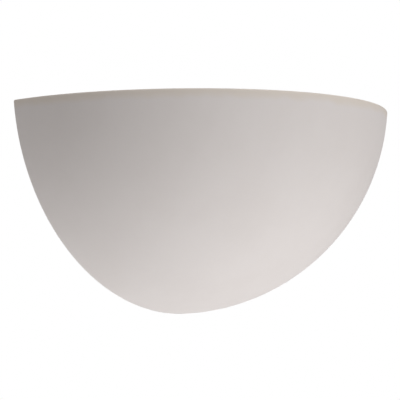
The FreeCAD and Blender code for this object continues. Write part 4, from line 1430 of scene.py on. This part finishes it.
@dataclass
class ThumbNut(Assembly):
    """One fluted brass nut, turned by hand from inside the bowl."""

    side: str
    flutes: int = 14
    flute_radius: float = 0.0011
    collar_radius: float = 0.005
    collar_length: float = 0.0025
    edge: float = 0.0008
    bore: float = 0.00205
    steps_to_flute: int = 16
    dish: float = 0.0004
    dish_from: float = 0.74
    dish_to: float = 0.70
    bore_bevel: float = 0.0004
    collar_bevel: float = 0.0003
    mouth_bevel: float = 0.0005

    def grip(self, turn: float, radius: float) -> float:
        """The radius of the fluted grip at one angle.

        Args:
            turn: The angle about the nut's axis.
            radius: The grip's radius between its flutes.

        Returns:
            The radius there.
        """
        share = 2 * math.pi / self.flutes
        from_flute = (turn + share / 2) % share - share / 2
        aside = radius * math.sin(from_flute)
        if abs(aside) >= self.flute_radius:
            return radius
        return radius * math.cos(from_flute) - math.sqrt(self.flute_radius**2 - aside**2)

    def ring(self, axis: Axis, radius: float, limit: float, distance: float) -> list[Vector]:
        """A ring of points round the grip.

        Args:
            axis: The nut's axis.
            radius: The grip's radius between its flutes.
            limit: The radius that its chamfer leaves.
            distance: The place along the axis.

        Returns:
            The points.
        """
        steps = self.flutes * self.steps_to_flute
        turns = [2 * math.pi * step / steps for step in range(steps)]
        return [axis.at(min(self.grip(turn, radius), limit), turn, distance) for turn in turns]

    def make(self) -> None:
        """Build and dress the nut."""
        node = f"thumb_nut_{self.side}"
        axis, size = out_of_wall(node), extent(node)
        radius, length = size.x / 2, size.y
        steps = self.flutes * self.steps_to_flute
        dish, bevel, corner = self.dish, self.bore_bevel, self.collar_bevel
        rows = [axis.ring(near, distance, steps) for near, distance in (
            (self.bore, bevel), (self.bore + bevel, 0.0),
            (self.collar_radius - corner, 0.0), (self.collar_radius, corner),
            (self.collar_radius, self.collar_length),
        )]
        for share in spread(0.0, 1.0, 3):
            limit = radius - self.edge * (1 - share)
            rows.append(self.ring(axis, radius, limit, self.collar_length + self.edge * share))
        for share in spread(1.0, 0.0, 3):
            limit = radius - self.edge * (1 - share)
            rows.append(self.ring(axis, radius, limit, length - self.edge * share))
        rows += [axis.ring(near, distance, steps) for near, distance in (
            (radius * self.dish_from, length), (radius * self.dish_to, length - dish),
            (self.bore + self.mouth_bevel, length - dish),
            (self.bore, length - dish - self.mouth_bevel),
        )]
        sketch = Sketch()
        sketch.grid(rows, ring=True, loop=True)
        self.add(f"fluted_{node}", node, sketch, Slot.BRASS, f"{self.side}_thumb_nut", 28.0)


# Arm and lampholder


@dataclass
class HolderArm(Assembly):
    """The bent steel strip that carries the lampholder, with its two screws and nuts."""

    screw_head_radius: float = 0.004
    screw_head_height: float = 0.0026
    slot_turns: Pair = (0.5, 1.9)
    nut_flats: float = 0.007
    nut_bore: float = 0.00195
    thread: Thread = M4

    def make(self) -> None:
        """Build the screws and nuts, and dress the strip."""
        low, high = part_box("arm_screws")
        height = middle_of("arm_screws").z
        under_head = low.y + self.screw_head_height
        nut_low, nut_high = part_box("arm_nuts")
        screws, nuts = Sketch(), Sketch()
        middles = (low.x + self.screw_head_radius, high.x - self.screw_head_radius)
        for centre_x, turn in zip(middles, self.slot_turns):
            axis = Axis(Vector((centre_x, under_head, height)), TOWARDS_ROOM)
            SlottedScrew(
                axis, self.screw_head_radius, self.screw_head_height, self.thread,
                high.y - under_head, turn,
            ).add(screws)
            seat = Axis(Vector((centre_x, nut_high.y, height)), TOWARDS_ROOM)
            HexNut(seat, self.nut_flats, nut_high.y - nut_low.y, self.nut_bore).add(nuts)
        self.add("slotted_arm_screws", "arm_screws", screws, Slot.ZINC_STEEL)
        self.add("hexagon_arm_nuts", "arm_nuts", nuts, Slot.ZINC_STEEL)
        self.dresser.dress_nodes(Slot.ZINC_STEEL, "lampholder_arm")


@dataclass
class Lampholder(Assembly):
    """The two-part porcelain lampholder with its contacts, screws and threaded tube."""

    tube_root: float = 0.0046
    tube_bore: float = 0.0036
    tube_pitch: float = 0.001
    tube_bevel: float = 0.0003
    lock_nut_thickness: float = 0.003
    lock_nut_flats: float = 0.014
    lock_nut_bore: float = 0.00495
    shell_wall: float = 0.0005
    shell_pitch: float = 0.00363
    shell_wave: float = 0.0003
    calm_bottom: float = 0.002
    calm_top: float = 0.003
    small_head_radius: float = 0.0028
    small_head_height: float = 0.0018
    joining_offset: float = 0.013
    terminal_offset: float = 0.0115
    terminal_side_step: float = 0.0016
    slot_turn: float = 0.7
    shell_steps: int = 48
    shell_rows: int = 56
    small_thread: Thread = M3

    def threaded_tube(self) -> None:
        """Build the hollow threaded tube and its two lock nuts."""
        centre, size = middle_of("threaded_tube"), extent("threaded_tube")
        axis, length, bevel = upright("threaded_tube"), size.z, self.tube_bevel
        thread = Thread(size.x / 2, self.tube_root, self.tube_pitch)
        sketch = Sketch()
        thread.skin(sketch, axis, bevel, length - bevel, 36)
        turned(sketch, axis, [
            (self.tube_root, bevel), (self.tube_root - bevel, 0.0), (self.tube_bore, 0.0),
            (self.tube_bore, length), (self.tube_root - bevel, length),
            (self.tube_root, length - bevel),
        ], 36)
        self.add("hollow_threaded_tube", "threaded_tube", sketch, Slot.ZINC_STEEL)
        low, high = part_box("lock_nuts")
        nuts = Sketch()
        for start in (low.z, high.z - self.lock_nut_thickness):
            seat = Axis(Vector((centre.x, centre.y, start)), UPWARDS)
            HexNut(
                seat, self.lock_nut_flats, self.lock_nut_thickness, self.lock_nut_bore
            ).add(nuts)
        self.add("hexagon_lock_nuts", "lock_nuts", nuts, Slot.ZINC_STEEL)

    def screw_shell(self) -> None:
        """Build the thin brass shell with its rolled thread."""
        axis, size, steps = upright("screw_shell"), extent("screw_shell"), self.shell_steps
        length, outer = size.z, size.x / 2
        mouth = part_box("lamp_insulator")[1].x
        levels = spread(self.shell_wall, length, self.shell_rows)

        def skin(offset: float) -> list[list[Vector]]:
            """Rows of the rolled wall, a distance inside its outermost radius.

            Args:
                offset: The distance in metres.

            Returns:
                The rows.
            """
            crest = outer - offset
            thread = Thread(crest, crest - self.shell_wave, self.shell_pitch, True)
            rows = []
            for level in levels:
                calm = min(
                    1.0, (level - levels[0]) / self.calm_bottom,
                    (levels[-1] - level) / self.calm_top,
                )
                rows.append([
                    axis.at(
                        thread.crest - (thread.crest - thread.radius(turn, level)) * max(0.0, calm),
                        turn, level,
                    )
                    for turn in spread(0.0, 2 * math.pi, steps)[:-1]
                ])
            return rows

        sketch = Sketch()
        inside = skin(self.shell_wall)
        outside = skin(0.0)
        lip = [
            axis.ring(outer, 0.0, steps), axis.ring(mouth, 0.0, steps),
            axis.ring(mouth, self.shell_wall, steps),
        ]
        sketch.grid(inside + outside[::-1] + lip, ring=True, loop=True)
        self.add("rolled_screw_shell", "screw_shell", sketch, Slot.BRASS, crease=50.0)

    def screws(self) -> None:
        """Build the joining screws, which point up, and the terminal screws, which do too."""
        for node, across, aside in (
            ("joining_screws", 0.0, self.joining_offset),
            ("holder_terminal_screws", self.terminal_offset, -self.terminal_side_step),
        ):
            low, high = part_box(node)
            centre = middle_of(node)
            under_head = low.z + self.small_head_height
            sketch = Sketch()
            for side in (1, -1):
                place = Vector((centre.x + side * across, centre.y + side * aside, under_head))
                SlottedScrew(
                    Axis(place, -UPWARDS), self.small_head_radius, self.small_head_height,
                    self.small_thread, high.z - under_head, self.slot_turn + side,
                ).add(sketch)
            self.add(
                f"slotted_{node}", node, sketch, Slot.BRASS if across else Slot.ZINC_STEEL
            )

    def make(self) -> None:
        """Build the metal parts and dress the porcelain and the contacts."""
        self.threaded_tube()
        self.screw_shell()
        self.screws()
        self.dresser.dress_nodes(Slot.PORCELAIN, "lampholder_base", "lampholder_body")
        self.dresser.dress_nodes(Slot.BRASS, "centre_contact", "side_contact")


# Mains terminals


# The strokes of the marks N and L in half heights, by the way that each mark stands under
MARKS = {
    1: ((-0.6, -1, -0.6, 1), (-0.6, 1, 0.6, -1), (0.6, -1, 0.6, 1)),
    2: ((-0.5, 1, -0.5, -1), (-0.5, -1, 0.6, -1)),
}


@dataclass
class TerminalBlock(Assembly):
    """The three-way nylon block with its barrels, wire screws and fixing screws."""

    pitch: float = 0.009
    ways: int = 3
    wire_screw_radius: float = 0.0016
    wire_screw_spacing: float = 0.008
    wire_screw_pitch: float = 0.0005
    wire_root_share: float = 0.82
    wire_head_share: float = 0.3
    wire_slot_share: float = 0.22
    wire_slot_turns: Point = (0.6, 1.1, 0.4)
    fixing_slot_turns: Pair = (1.2, 0.9)
    fixing_head_radius: float = 0.0028
    fixing_head_height: float = 0.0018
    fixing_thread: Thread = M3
    base_depth: float = 0.008
    mark_size: float = 0.0009
    mark_thick: float = 0.0002
    mark_rise: float = 0.00015
    mark_lift: float = 1.3

    def way_x(self, way: int) -> float:
        """The place of one way's middle, counted from the left."""
        return middle_of("terminal_barrels").x + (way - (self.ways - 1) / 2) * self.pitch

    def wire_screws(self) -> None:
        """Build the six headless screws that clamp the leads in the barrels."""
        low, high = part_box("terminal_block_screws")
        centre = middle_of("terminal_block_screws")
        thread = Thread(
            self.wire_screw_radius, self.wire_screw_radius * self.wire_root_share,
            self.wire_screw_pitch,
        )
        head_height = (high.y - low.y) * self.wire_head_share
        first, by_way, by_side = self.wire_slot_turns
        sketch = Sketch()
        for way in range(self.ways):
            for side in (-1, 1):
                height = centre.z + side * self.wire_screw_spacing / 2
                axis = Axis(Vector((self.way_x(way), low.y + head_height, height)), TOWARDS_ROOM)
                SlottedScrew(
                    axis, self.wire_screw_radius, head_height, thread,
                    high.y - low.y - head_height, first + way * by_way + side * by_side,
                    self.wire_slot_share,
                ).add(sketch)
        self.add("slotted_wire_screws", "terminal_block_screws", sketch, Slot.ZINC_STEEL)

    def fixing_screws(self) -> None:
        """Build the two screws that hold the block to the bracket."""
        low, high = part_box("block_fixing_screws")
        centre = middle_of("block_fixing_screws")
        sketch = Sketch()
        for way in range(self.ways - 1):
            middle_x = (self.way_x(way) + self.way_x(way + 1)) / 2
            under_head = low.y + self.fixing_head_height
            axis = Axis(Vector((middle_x, under_head, centre.z)), TOWARDS_ROOM)
            SlottedScrew(
                axis, self.fixing_head_radius, self.fixing_head_height, self.fixing_thread,
                high.y - under_head, self.fixing_slot_turns[0] + way * self.fixing_slot_turns[1],
            ).add(sketch)
        self.add("slotted_fixing_screws", "block_fixing_screws", sketch, Slot.ZINC_STEEL)

    def marks(self) -> None:
        """Build the moulded marks under the middle and right ways: N and L."""
        low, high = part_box("terminal_block")
        step = self.mark_size / 2
        face = high.y - self.base_depth
        sketch = Sketch()
        for way, strokes in MARKS.items():
            middle = Vector((self.way_x(way), face, low.z + step * self.mark_lift))
            bars(sketch, [
                (
                    middle + Vector((first, 0, second)) * step,
                    middle + Vector((third, 0, fourth)) * step,
                )
                for first, second, third, fourth in strokes
            ], self.mark_thick, TOWARDS_ROOM * self.mark_rise)
        self.add("moulded_marks", None, sketch, Slot.NYLON)

    def make(self) -> None:
        """Build the screws and marks, and dress the block and its barrels."""
        self.wire_screws()
        self.fixing_screws()
        self.marks()
        self.dresser.dress_nodes(Slot.NYLON, "terminal_block")
        self.dresser.dress_nodes(Slot.BRASS, "terminal_barrels")


@dataclass
class EarthPoint(Assembly):
    """The earth stud with its ring terminal, washer and nut, and the earth sign beside it."""

    stud_head_height: float = 0.0012
    washer_inner: float = 0.0022
    nut_flats: float = 0.007
    nut_bore: float = 0.00195
    nut_turn: float = 0.2
    sign_right_of_stud: float = 0.0095
    sign_rise: float = 0.0003
    sign_thick: float = 0.0005
    sign_stem: float = 0.0030
    sign_bars: tuple[Pair, ...] = ((0.0024, 0.0), (0.0015, 0.0012), (0.0006, 0.0024))

    def stud(self) -> None:
        """Build the stud, which is pressed into the bracket from behind."""
        node, sketch, size = "earth_stud", Sketch(), extent("earth_stud")
        Stud(
            out_of_wall(node), M4, size.y, size.x / 2, self.stud_head_height, self.stud_head_height
        ).add(sketch)
        self.add("threaded_earth_stud", node, sketch, Slot.ZINC_STEEL)

    def sign(self) -> None:
        """Build the earth sign, which is pressed out of the bracket."""
        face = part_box("wall_bracket")[0].y
        centre = middle_of("earth_stud")
        middle = Vector((centre.x + self.sign_right_of_stud, face, centre.z))
        strokes = [(middle + Vector((0, 0, self.sign_stem)), middle)]
        for half, drop in self.sign_bars:
            level = middle - Vector((0, 0, drop))
            strokes.append((level - Vector((half, 0, 0)), level + Vector((half, 0, 0))))
        sketch = Sketch()
        bars(sketch, strokes, self.sign_thick, TOWARDS_ROOM * self.sign_rise)
        self.add("earth_sign", None, sketch, Slot.ZINC_STEEL)

    def make(self) -> None:
        """Build the stud, washer, nut and sign, and dress the ring terminal."""
        self.stud()
        self.sign()
        size, washer = extent("earth_washer"), Sketch()
        seat = out_of_wall("earth_washer", "earth_stud")
        SpringWasher(seat, self.washer_inner, size.x / 2, size.y).add(washer)
        self.add("split_earth_washer", "earth_washer", washer, Slot.ZINC_STEEL)
        thickness, nut = extent("earth_nut").y, Sketch()
        seat = out_of_wall("earth_nut", "earth_stud")
        HexNut(seat, self.nut_flats, thickness, self.nut_bore, self.nut_turn).add(nut)
        self.add("hexagon_earth_nut", "earth_nut", nut, Slot.ZINC_STEEL)
        self.dresser.dress_nodes(Slot.TINNED_COPPER, "ring_terminal")


# Leads


@dataclass
class Lead(Assembly):
    """One insulated lead along straight runs joined by arcs, with a bare strand at each end."""

    name: str
    node: str
    corners: tuple[Point, ...]
    slot: Slot
    radius: float = 0.001
    core_radius: float = 0.0006
    bend_share: float = 0.45
    bare_start: float = 0.004
    bare_end: float = 0.004
    hidden: float = 0.001
    strand_ripple: float = 0.16
    strand_twist: float = 900
    station_gap: float = 0.0015
    bend_steps: int = 14
    strands: int = 7
    steps: int = 20

    def path(self) -> list[Vector]:
        """The lead's middle line, finely stepped.

        Returns:
            The line's points.
        """
        corners = [Vector(corner) for corner in self.corners]
        line = [corners[0]]
        for before, corner, after in zip(corners, corners[1:], corners[2:]):
            into, out_of = corner - before, after - corner
            set_back = self.bend_share * min(into.length, out_of.length)
            into.normalize()
            out_of.normalize()
            half_turn = into.angle(out_of) / 2
            bend = set_back / math.tan(half_turn)
            inward = (out_of - into).normalized()
            middle = corner + inward * (bend / math.cos(half_turn))
            for turn in spread(-half_turn, half_turn, self.bend_steps):
                outward = -inward * math.cos(turn) + (into + out_of).normalized() * math.sin(turn)
                line.append(middle + outward * bend)
        line.append(corners[-1])
        return line

    def stations(self) -> list[tuple[Vector, Vector, Vector, float]]:
        """Places along the lead: point, two directions across it, and distance from its start.

        Returns:
            The places, in order.
        """
        line = self.path()
        fine = [line[0]]
        for start, end in zip(line, line[1:]):
            pieces = max(1, math.ceil((end - start).length / self.station_gap))
            fine += [start.lerp(end, share) for share in spread(0.0, 1.0, pieces)[1:]]
        across = (fine[1] - fine[0]).orthogonal().normalized()
        travelled = 0.0
        found = []
        for index, place in enumerate(fine):
            before, after = fine[max(index - 1, 0)], fine[min(index + 1, len(fine) - 1)]
            along = (after - before).normalized()
            across = (across - along * across.dot(along)).normalized()
            if index:
                travelled += (place - fine[index - 1]).length
            found.append((place, across, along.cross(across), travelled))
        return found

    def skin(self, sketch: Sketch, stations: Sequence[tuple[Vector, Vector, Vector, float]],
             radius: float, ripple: float) -> list[float]:
        """Add a closed skin along the lead.

        Args:
            sketch: The piece to add to.
            stations: The places along it.
            radius: The skin's radius.
            ripple: How much its strands ripple the skin, as a share of the radius.

        Returns:
            For each new point, a wave that runs twice round the lead.
        """
        rows, waves = [], []
        for place, first, second, travelled in stations:
            row = []
            for step in range(self.steps):
                turn = 2 * math.pi * step / self.steps
                twist = turn * self.strands + travelled * self.strand_twist
                reach = radius * (1 - ripple * (1 - math.cos(twist)) / 2)
                row.append(place + (first * math.cos(turn) + second * math.sin(turn)) * reach)
                waves.append(math.cos(2 * turn))
            rows.append(row)
        sketch.grid(rows, ring=True)
        sketch.cap(rows[0])
        sketch.cap(rows[-1])
        return waves

    def make(self) -> None:
        """Build and dress the insulation and the two bare ends."""
        stations = self.stations()
        length = stations[-1][3]
        covered = [
            station for station in stations
            if self.bare_start <= station[3] <= length - self.bare_end
        ]
        sketch = Sketch()
        waves = self.skin(sketch, covered, self.radius, 0.0)
        piece = self.add(self.name, self.node, sketch, self.slot)
        stripe = piece.data.attributes.new("stripe", "FLOAT", "POINT")
        stripe.data.foreach_set("value", waves)
        first_to, last_from = self.bare_start + self.hidden, length - self.bare_end - self.hidden
        for end, part in (
            ("start", [station for station in stations if station[3] <= first_to]),
            ("end", [station for station in stations if station[3] >= last_from]),
        ):
            bare = Sketch()
            self.skin(bare, part, self.core_radius, self.strand_ripple)
            self.add(f"{self.name}_bare_{end}", None, bare, Slot.TINNED_COPPER)


@dataclass
class Wiring(Assembly):
    """The three leads inside the fitting, between the block, the lampholder and the earth stud."""

    pair_spacing: float = 0.0026
    terminal_reach: float = 0.0145
    below_tube: float = 0.007
    in_block: float = 0.005
    from_block: float = 0.012
    forward: float = 0.008
    inward: float = 0.009
    rise: float = 0.008
    earth_hang: float = 0.020
    in_crimp: float = 0.006
    under_screw: float = 0.00185
    crimp_from_sheet: float = 0.0019
    hang_from_sheet: float = 0.002
    live_slack: float = 0.002
    neutral_slack: float = -0.001
    radius: float = 0.001

    def lamp_lead(self, side: int, way_x: float, slack: float) -> tuple[Point, ...]:
        """The corners of one lead from the lampholder to the block.

        Args:
            side: 1 for the right terminal, -1 for the left.
            way_x: The place of its way in the block.
            slack: How far the middle of its rising stretch steps sideways and up.

        Returns:
            The corners.
        """
        axis_y = middle_of("threaded_tube").y
        barrel_y = middle_of("terminal_barrels").y
        block_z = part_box("terminal_block")[0].z
        terminal_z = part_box("holder_terminal_screws")[0].z + self.under_screw + self.radius
        low_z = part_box("threaded_tube")[0].z - self.below_tube
        bore_x = side * self.pair_spacing / 2
        rising_y = barrel_y - self.forward
        return (
            (side * self.terminal_reach, axis_y + side * self.pair_spacing, terminal_z),
            (bore_x, axis_y, terminal_z),
            (bore_x, axis_y, low_z),
            (way_x - self.inward, rising_y, low_z + self.rise),
            (way_x + slack, rising_y, (low_z + block_z) / 2 + slack),
            (way_x, barrel_y, block_z - self.in_block),
            (way_x, barrel_y, block_z + self.in_block),
        )

    def earth_corners(self, way_x: float) -> tuple[Point, ...]:
        """The corners of the earth lead, from the block in front of the arm to the crimp.

        Args:
            way_x: The place of its way in the block.

        Returns:
            The corners.
        """
        barrel_y = middle_of("terminal_barrels").y
        block_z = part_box("terminal_block")[0].z
        crimp_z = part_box("ring_terminal")[0].z
        crimp_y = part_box("wall_bracket")[0].y - self.crimp_from_sheet
        half_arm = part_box("lampholder_arm")[1].x
        hang_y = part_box("wall_bracket")[0].y - self.hang_from_sheet - self.forward
        hang_z = middle_of("arm_screws").z - self.earth_hang
        stud_x = middle_of("earth_stud").x
        return (
            (way_x, barrel_y, block_z + self.in_block),
            (way_x, barrel_y, block_z - self.from_block),
            (half_arm, hang_y, hang_z),
            (-half_arm, hang_y, hang_z + self.radius),
            (stud_x, crimp_y, crimp_z - self.from_block),
            (stud_x, crimp_y, crimp_z + self.in_crimp),
        )

    def make(self) -> None:
        """Build and dress the three leads."""
        block = TerminalBlock(self.dresser)
        live = self.lamp_lead(1, block.way_x(2), self.live_slack)
        neutral = self.lamp_lead(-1, block.way_x(1), self.neutral_slack)
        earth = self.earth_corners(block.way_x(0))
        for name, node, corners, slot in (
            ("brown_live_lead", "live_lead", live, Slot.BROWN_LEAD),
            ("blue_neutral_lead", "neutral_lead", neutral, Slot.BLUE_LEAD),
            ("striped_earth_lead", "earth_lead", earth, Slot.GREEN_LEAD),
        ):
            Lead(self.dresser, name, node, corners, slot).make()


# Lamp


@dataclass
class Lamp(Assembly):
    """The opal glass lamp with its screw cap."""

    cap_root: float = 0.01245
    cap_pitch: float = 0.00363
    thread_from_bottom: float = 0.0022
    thread_to_top: float = 0.0062
    seat_radius: float = 0.0111
    foot_inset: float = 0.0006
    foot_rise: float = 0.0004
    run_out: float = 0.0003
    above_thread: Pair = (0.0001, 0.0003)
    under_collar: Pair = (0.0003, 0.0010)
    collar: tuple[Pair, ...] = (
        (0.0002, 0.0016), (0.0, 0.0010), (0.0001, 0.0003), (0.0004, 0.0), (0.0009, 0.0001)
    )
    steps: int = 64
    thread_rows: int = 12
    dome_power: float = 0.6
    dome_share: float = 0.96
    dome_rows: int = 8
    dome_steps: int = 40

    def cap(self) -> None:
        """Build the thin cap with its rolled thread and its rim round the glass."""
        axis, size = upright("lamp_cap"), extent("lamp_cap")
        crest, length = size.x / 2, size.z
        thread = Thread(crest, self.cap_root, self.cap_pitch, True)
        sketch = Sketch()
        seat, rise, steps = self.seat_radius - self.foot_inset, self.foot_rise, self.steps
        sketch.cap(axis.ring(seat, 0.0, steps))
        turned(sketch, axis, [
            (seat, 0.0), (self.seat_radius, rise),
            (self.cap_root - self.run_out, self.thread_from_bottom - rise),
            (self.cap_root, self.thread_from_bottom),
        ], steps)
        top = length - self.thread_to_top
        thread.skin(sketch, axis, self.thread_from_bottom, top, steps, self.thread_rows)
        near, under = self.above_thread, self.under_collar
        turned(sketch, axis, [
            (self.cap_root, top), (self.cap_root + near[0], top + near[1]),
            (crest - under[0], top + under[1]),
            *((crest - inset, length - below) for inset, below in self.collar),
        ], steps)
        self.add("threaded_lamp_cap", "lamp_cap", sketch, Slot.CAP_ALUMINIUM, "lamp", 50.0)

    def end_contact(self) -> None:
        """Build the domed drop of solder in the middle of the black glass."""
        centre, size = middle_of("lamp_contact"), extent("lamp_contact")
        radius, depth, steps = size.x / 2, size.z, self.dome_steps
        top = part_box("lamp_contact")[1].z
        axis = Axis(Vector((centre.x, centre.y, top)), -UPWARDS)
        profile = [
            (radius * math.cos(turn) ** self.dome_power, depth * math.sin(turn))
            for turn in spread(0.0, math.pi / 2 * self.dome_share, self.dome_rows)
        ]
        sketch = Sketch()
        turned(sketch, axis, profile, steps)
        sketch.cap(axis.ring(*profile[-1], steps))
        sketch.cap(axis.ring(radius, 0.0, steps))
        self.add("domed_end_contact", "lamp_contact", sketch, Slot.SOLDER, "lamp", 50.0)

    def make(self) -> None:
        """Build the cap and the end contact, and dress the glass and the insulator."""
        self.cap()
        self.end_contact()
        self.dresser.dress_nodes(Slot.OPAL_GLASS, "lamp_glass")
        self.dresser.dress_nodes(Slot.BLACK_GLASS, "lamp_insulator")


# Studio and camera


@dataclass(frozen=True)
class SoftLamp:
    """One square soft lamp of the studio, on a direction from the middle of the object."""

    name: str
    direction: Point
    distance: float
    size: float
    power: float
    colour: Colour = (1.0, 0.985, 0.985)

    def make(self, centre: Vector) -> None:
        """Build the lamp, out of the camera's sight.

        Args:
            centre: The point that it shines at.
        """
        data = bpy.data.lights.new(self.name, "AREA")
        data.energy = self.power
        data.size = self.size
        data.color = self.colour
        towards = Vector(self.direction).normalized()
        piece = bpy.data.objects.new(self.name, data)
        piece.location = centre + towards * self.distance
        piece.rotation_mode = "QUATERNION"
        piece.rotation_quaternion = (-towards).to_track_quat("-Z", "Y")
        piece.visible_camera = False
        bpy.context.scene.collection.objects.link(piece)


@dataclass
class Studio:
    """A pale floor, a plain world and soft lamps, none of which the camera sees on the object."""

    floor_drop: float = 2.4
    floor_radius: float = 6.0
    floor_colour: Colour = (0.80, 0.79, 0.78)
    floor_glow: float = 0.75
    floor_steps: int = 96
    fill_colour: Colour = (1.0, 0.955, 0.935)
    fill_strength: float = 0.243
    lamps: tuple[SoftLamp, ...] = (
        SoftLamp("low_lamp", (0.15, -0.10, -0.98), 1.1, 0.7, 7.2),
        SoftLamp("front_lamp", (0.00, -0.97, 0.20), 1.1, 0.7, 4.35),
        SoftLamp("left_lamp", (-0.74, -0.39, -0.55), 1.1, 0.7, 1.2),
        SoftLamp("top_lamp", (0.10, -0.25, 1.00), 1.3, 0.9, 5.0),
        SoftLamp("back_lamp", (-0.60, 1.00, 0.00), 1.3, 0.9, 3.5),
    )

    def world(self) -> None:
        """White behind the object and a plain pale fill on it."""
        world = bpy.data.worlds.new("studio_world")
        bpy.context.scene.world = world
        world.use_nodes = True
        graph = Graph(world.node_tree)
        fill = graph.node(
            "ShaderNodeBackground", None,
            {"Color": opaque(self.fill_colour), "Strength": self.fill_strength},
        )
        white = graph.node(
            "ShaderNodeBackground", None, {"Color": (1.0, 1.0, 1.0, 1.0), "Strength": 1.0}
        )
        mixed = graph.node(
            "ShaderNodeMixShader", None,
            {0: backdrop_rays(graph), 1: fill.outputs[0], 2: white.outputs[0]},
        )
        graph.node("ShaderNodeOutputWorld", None, {"Surface": mixed.outputs[0]})

    def floor(self) -> None:
        """A round pale floor, far below the light."""
        mesh = bpy.data.meshes.new("studio_floor")
        steps = self.floor_steps
        ring = [
            (
                self.floor_radius * math.cos(2 * math.pi * step / steps),
                self.floor_radius * math.sin(2 * math.pi * step / steps),
                -self.floor_drop,
            )
            for step in range(steps)
        ]
        mesh.from_pydata(ring, [], [list(range(steps))])
        piece = bpy.data.objects.new("studio_floor", mesh)
        bpy.context.scene.collection.objects.link(piece)
        material, graph = new_graph("studio_floor")
        matt = graph.node(
            "ShaderNodeBsdfDiffuse", None, {"Color": opaque(self.floor_colour)}
        )
        white = graph.node(
            "ShaderNodeEmission", None, {"Color": (1.0, 1.0, 1.0, 1.0), "Strength": 1.0}
        )
        mixed = graph.node(
            "ShaderNodeMixShader", None,
            {0: backdrop_rays(graph) * self.floor_glow, 1: matt.outputs[0], 2: white.outputs[0]},
        )
        graph.node("ShaderNodeOutputMaterial", None, {"Surface": mixed.outputs[0]})
        mesh.materials.append(material)
        piece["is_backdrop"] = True

    def make(self, centre: Vector) -> None:
        """Build the world, the floor and the lamps.

        Args:
            centre: The middle of the object.
        """
        self.world()
        self.floor()
        for lamp in self.lamps:
            lamp.make(centre)


def backdrop_rays(graph: Graph) -> Shade:
    """1 for the rays that show the backdrop: from the camera, in gloss and through glass.

    Args:
        graph: The graph to add to.

    Returns:
        The value.
    """
    paths = graph.node("ShaderNodeLightPath").outputs
    seen = Shade(graph, paths["Is Camera Ray"]) + Shade(graph, paths["Is Glossy Ray"])
    return graph.maths("MINIMUM", seen + Shade(graph, paths["Is Transmission Ray"]), 1.0)


@dataclass
class PhotoCamera:
    """The camera at the photograph's viewing angle."""

    aim: Point = (0.01146, -0.01197, -0.00626)
    azimuth: float = -46.24
    elevation: float = -3.916
    distance: float = 1.260
    roll: float = 0.977
    lens: float = 134.16
    sensor: float = 36.0
    clip_start: float = 0.01
    clip_end: float = 50.0

    def make(self) -> None:
        """Build the camera and make it the scene's own."""
        data = bpy.data.cameras.new("photo_camera")
        data.lens = self.lens
        data.sensor_width = self.sensor
        data.clip_start = self.clip_start
        data.clip_end = self.clip_end
        turn, rise = math.radians(self.azimuth), math.radians(self.elevation)
        back = Vector((
            math.sin(turn) * math.cos(rise), -math.cos(turn) * math.cos(rise), math.sin(rise)
        ))
        level = Vector((math.cos(turn), math.sin(turn), 0.0))
        upright = back.cross(level)
        tilt = math.radians(self.roll)
        right = level * math.cos(tilt) - upright * math.sin(tilt)
        up = level * math.sin(tilt) + upright * math.cos(tilt)
        turned = Matrix((right, up, back)).transposed()
        piece = bpy.data.objects.new("photo_camera", data)
        piece.rotation_mode = "QUATERNION"
        piece.rotation_quaternion = turned.to_quaternion()
        piece.location = Vector(self.aim) + back * self.distance
        bpy.context.scene.collection.objects.link(piece)
        bpy.context.scene.camera = piece


def main() -> None:
    """Build and dress the light, then the studio and the camera."""
    logging.basicConfig(level=logging.INFO, format="%(name)s %(message)s")
    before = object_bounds()
    dresser = Dresser()
    dresser.paint(finishes(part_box("ceramic_shell")[1].z))
    for assembly in (
        CeramicShell(dresser), WallBracket(dresser), ThumbNut(dresser, "left"),
        ThumbNut(dresser, "right"), HolderArm(dresser), Lampholder(dresser),
        TerminalBlock(dresser), EarthPoint(dresser), Wiring(dresser), Lamp(dresser),
    ):
        assembly.make()
    Studio().make((before[0] + before[1]) / 2)
    PhotoCamera().make()
    bpy.context.scene.view_settings.view_transform = "Standard"


if __name__ == "__main__":
    main()
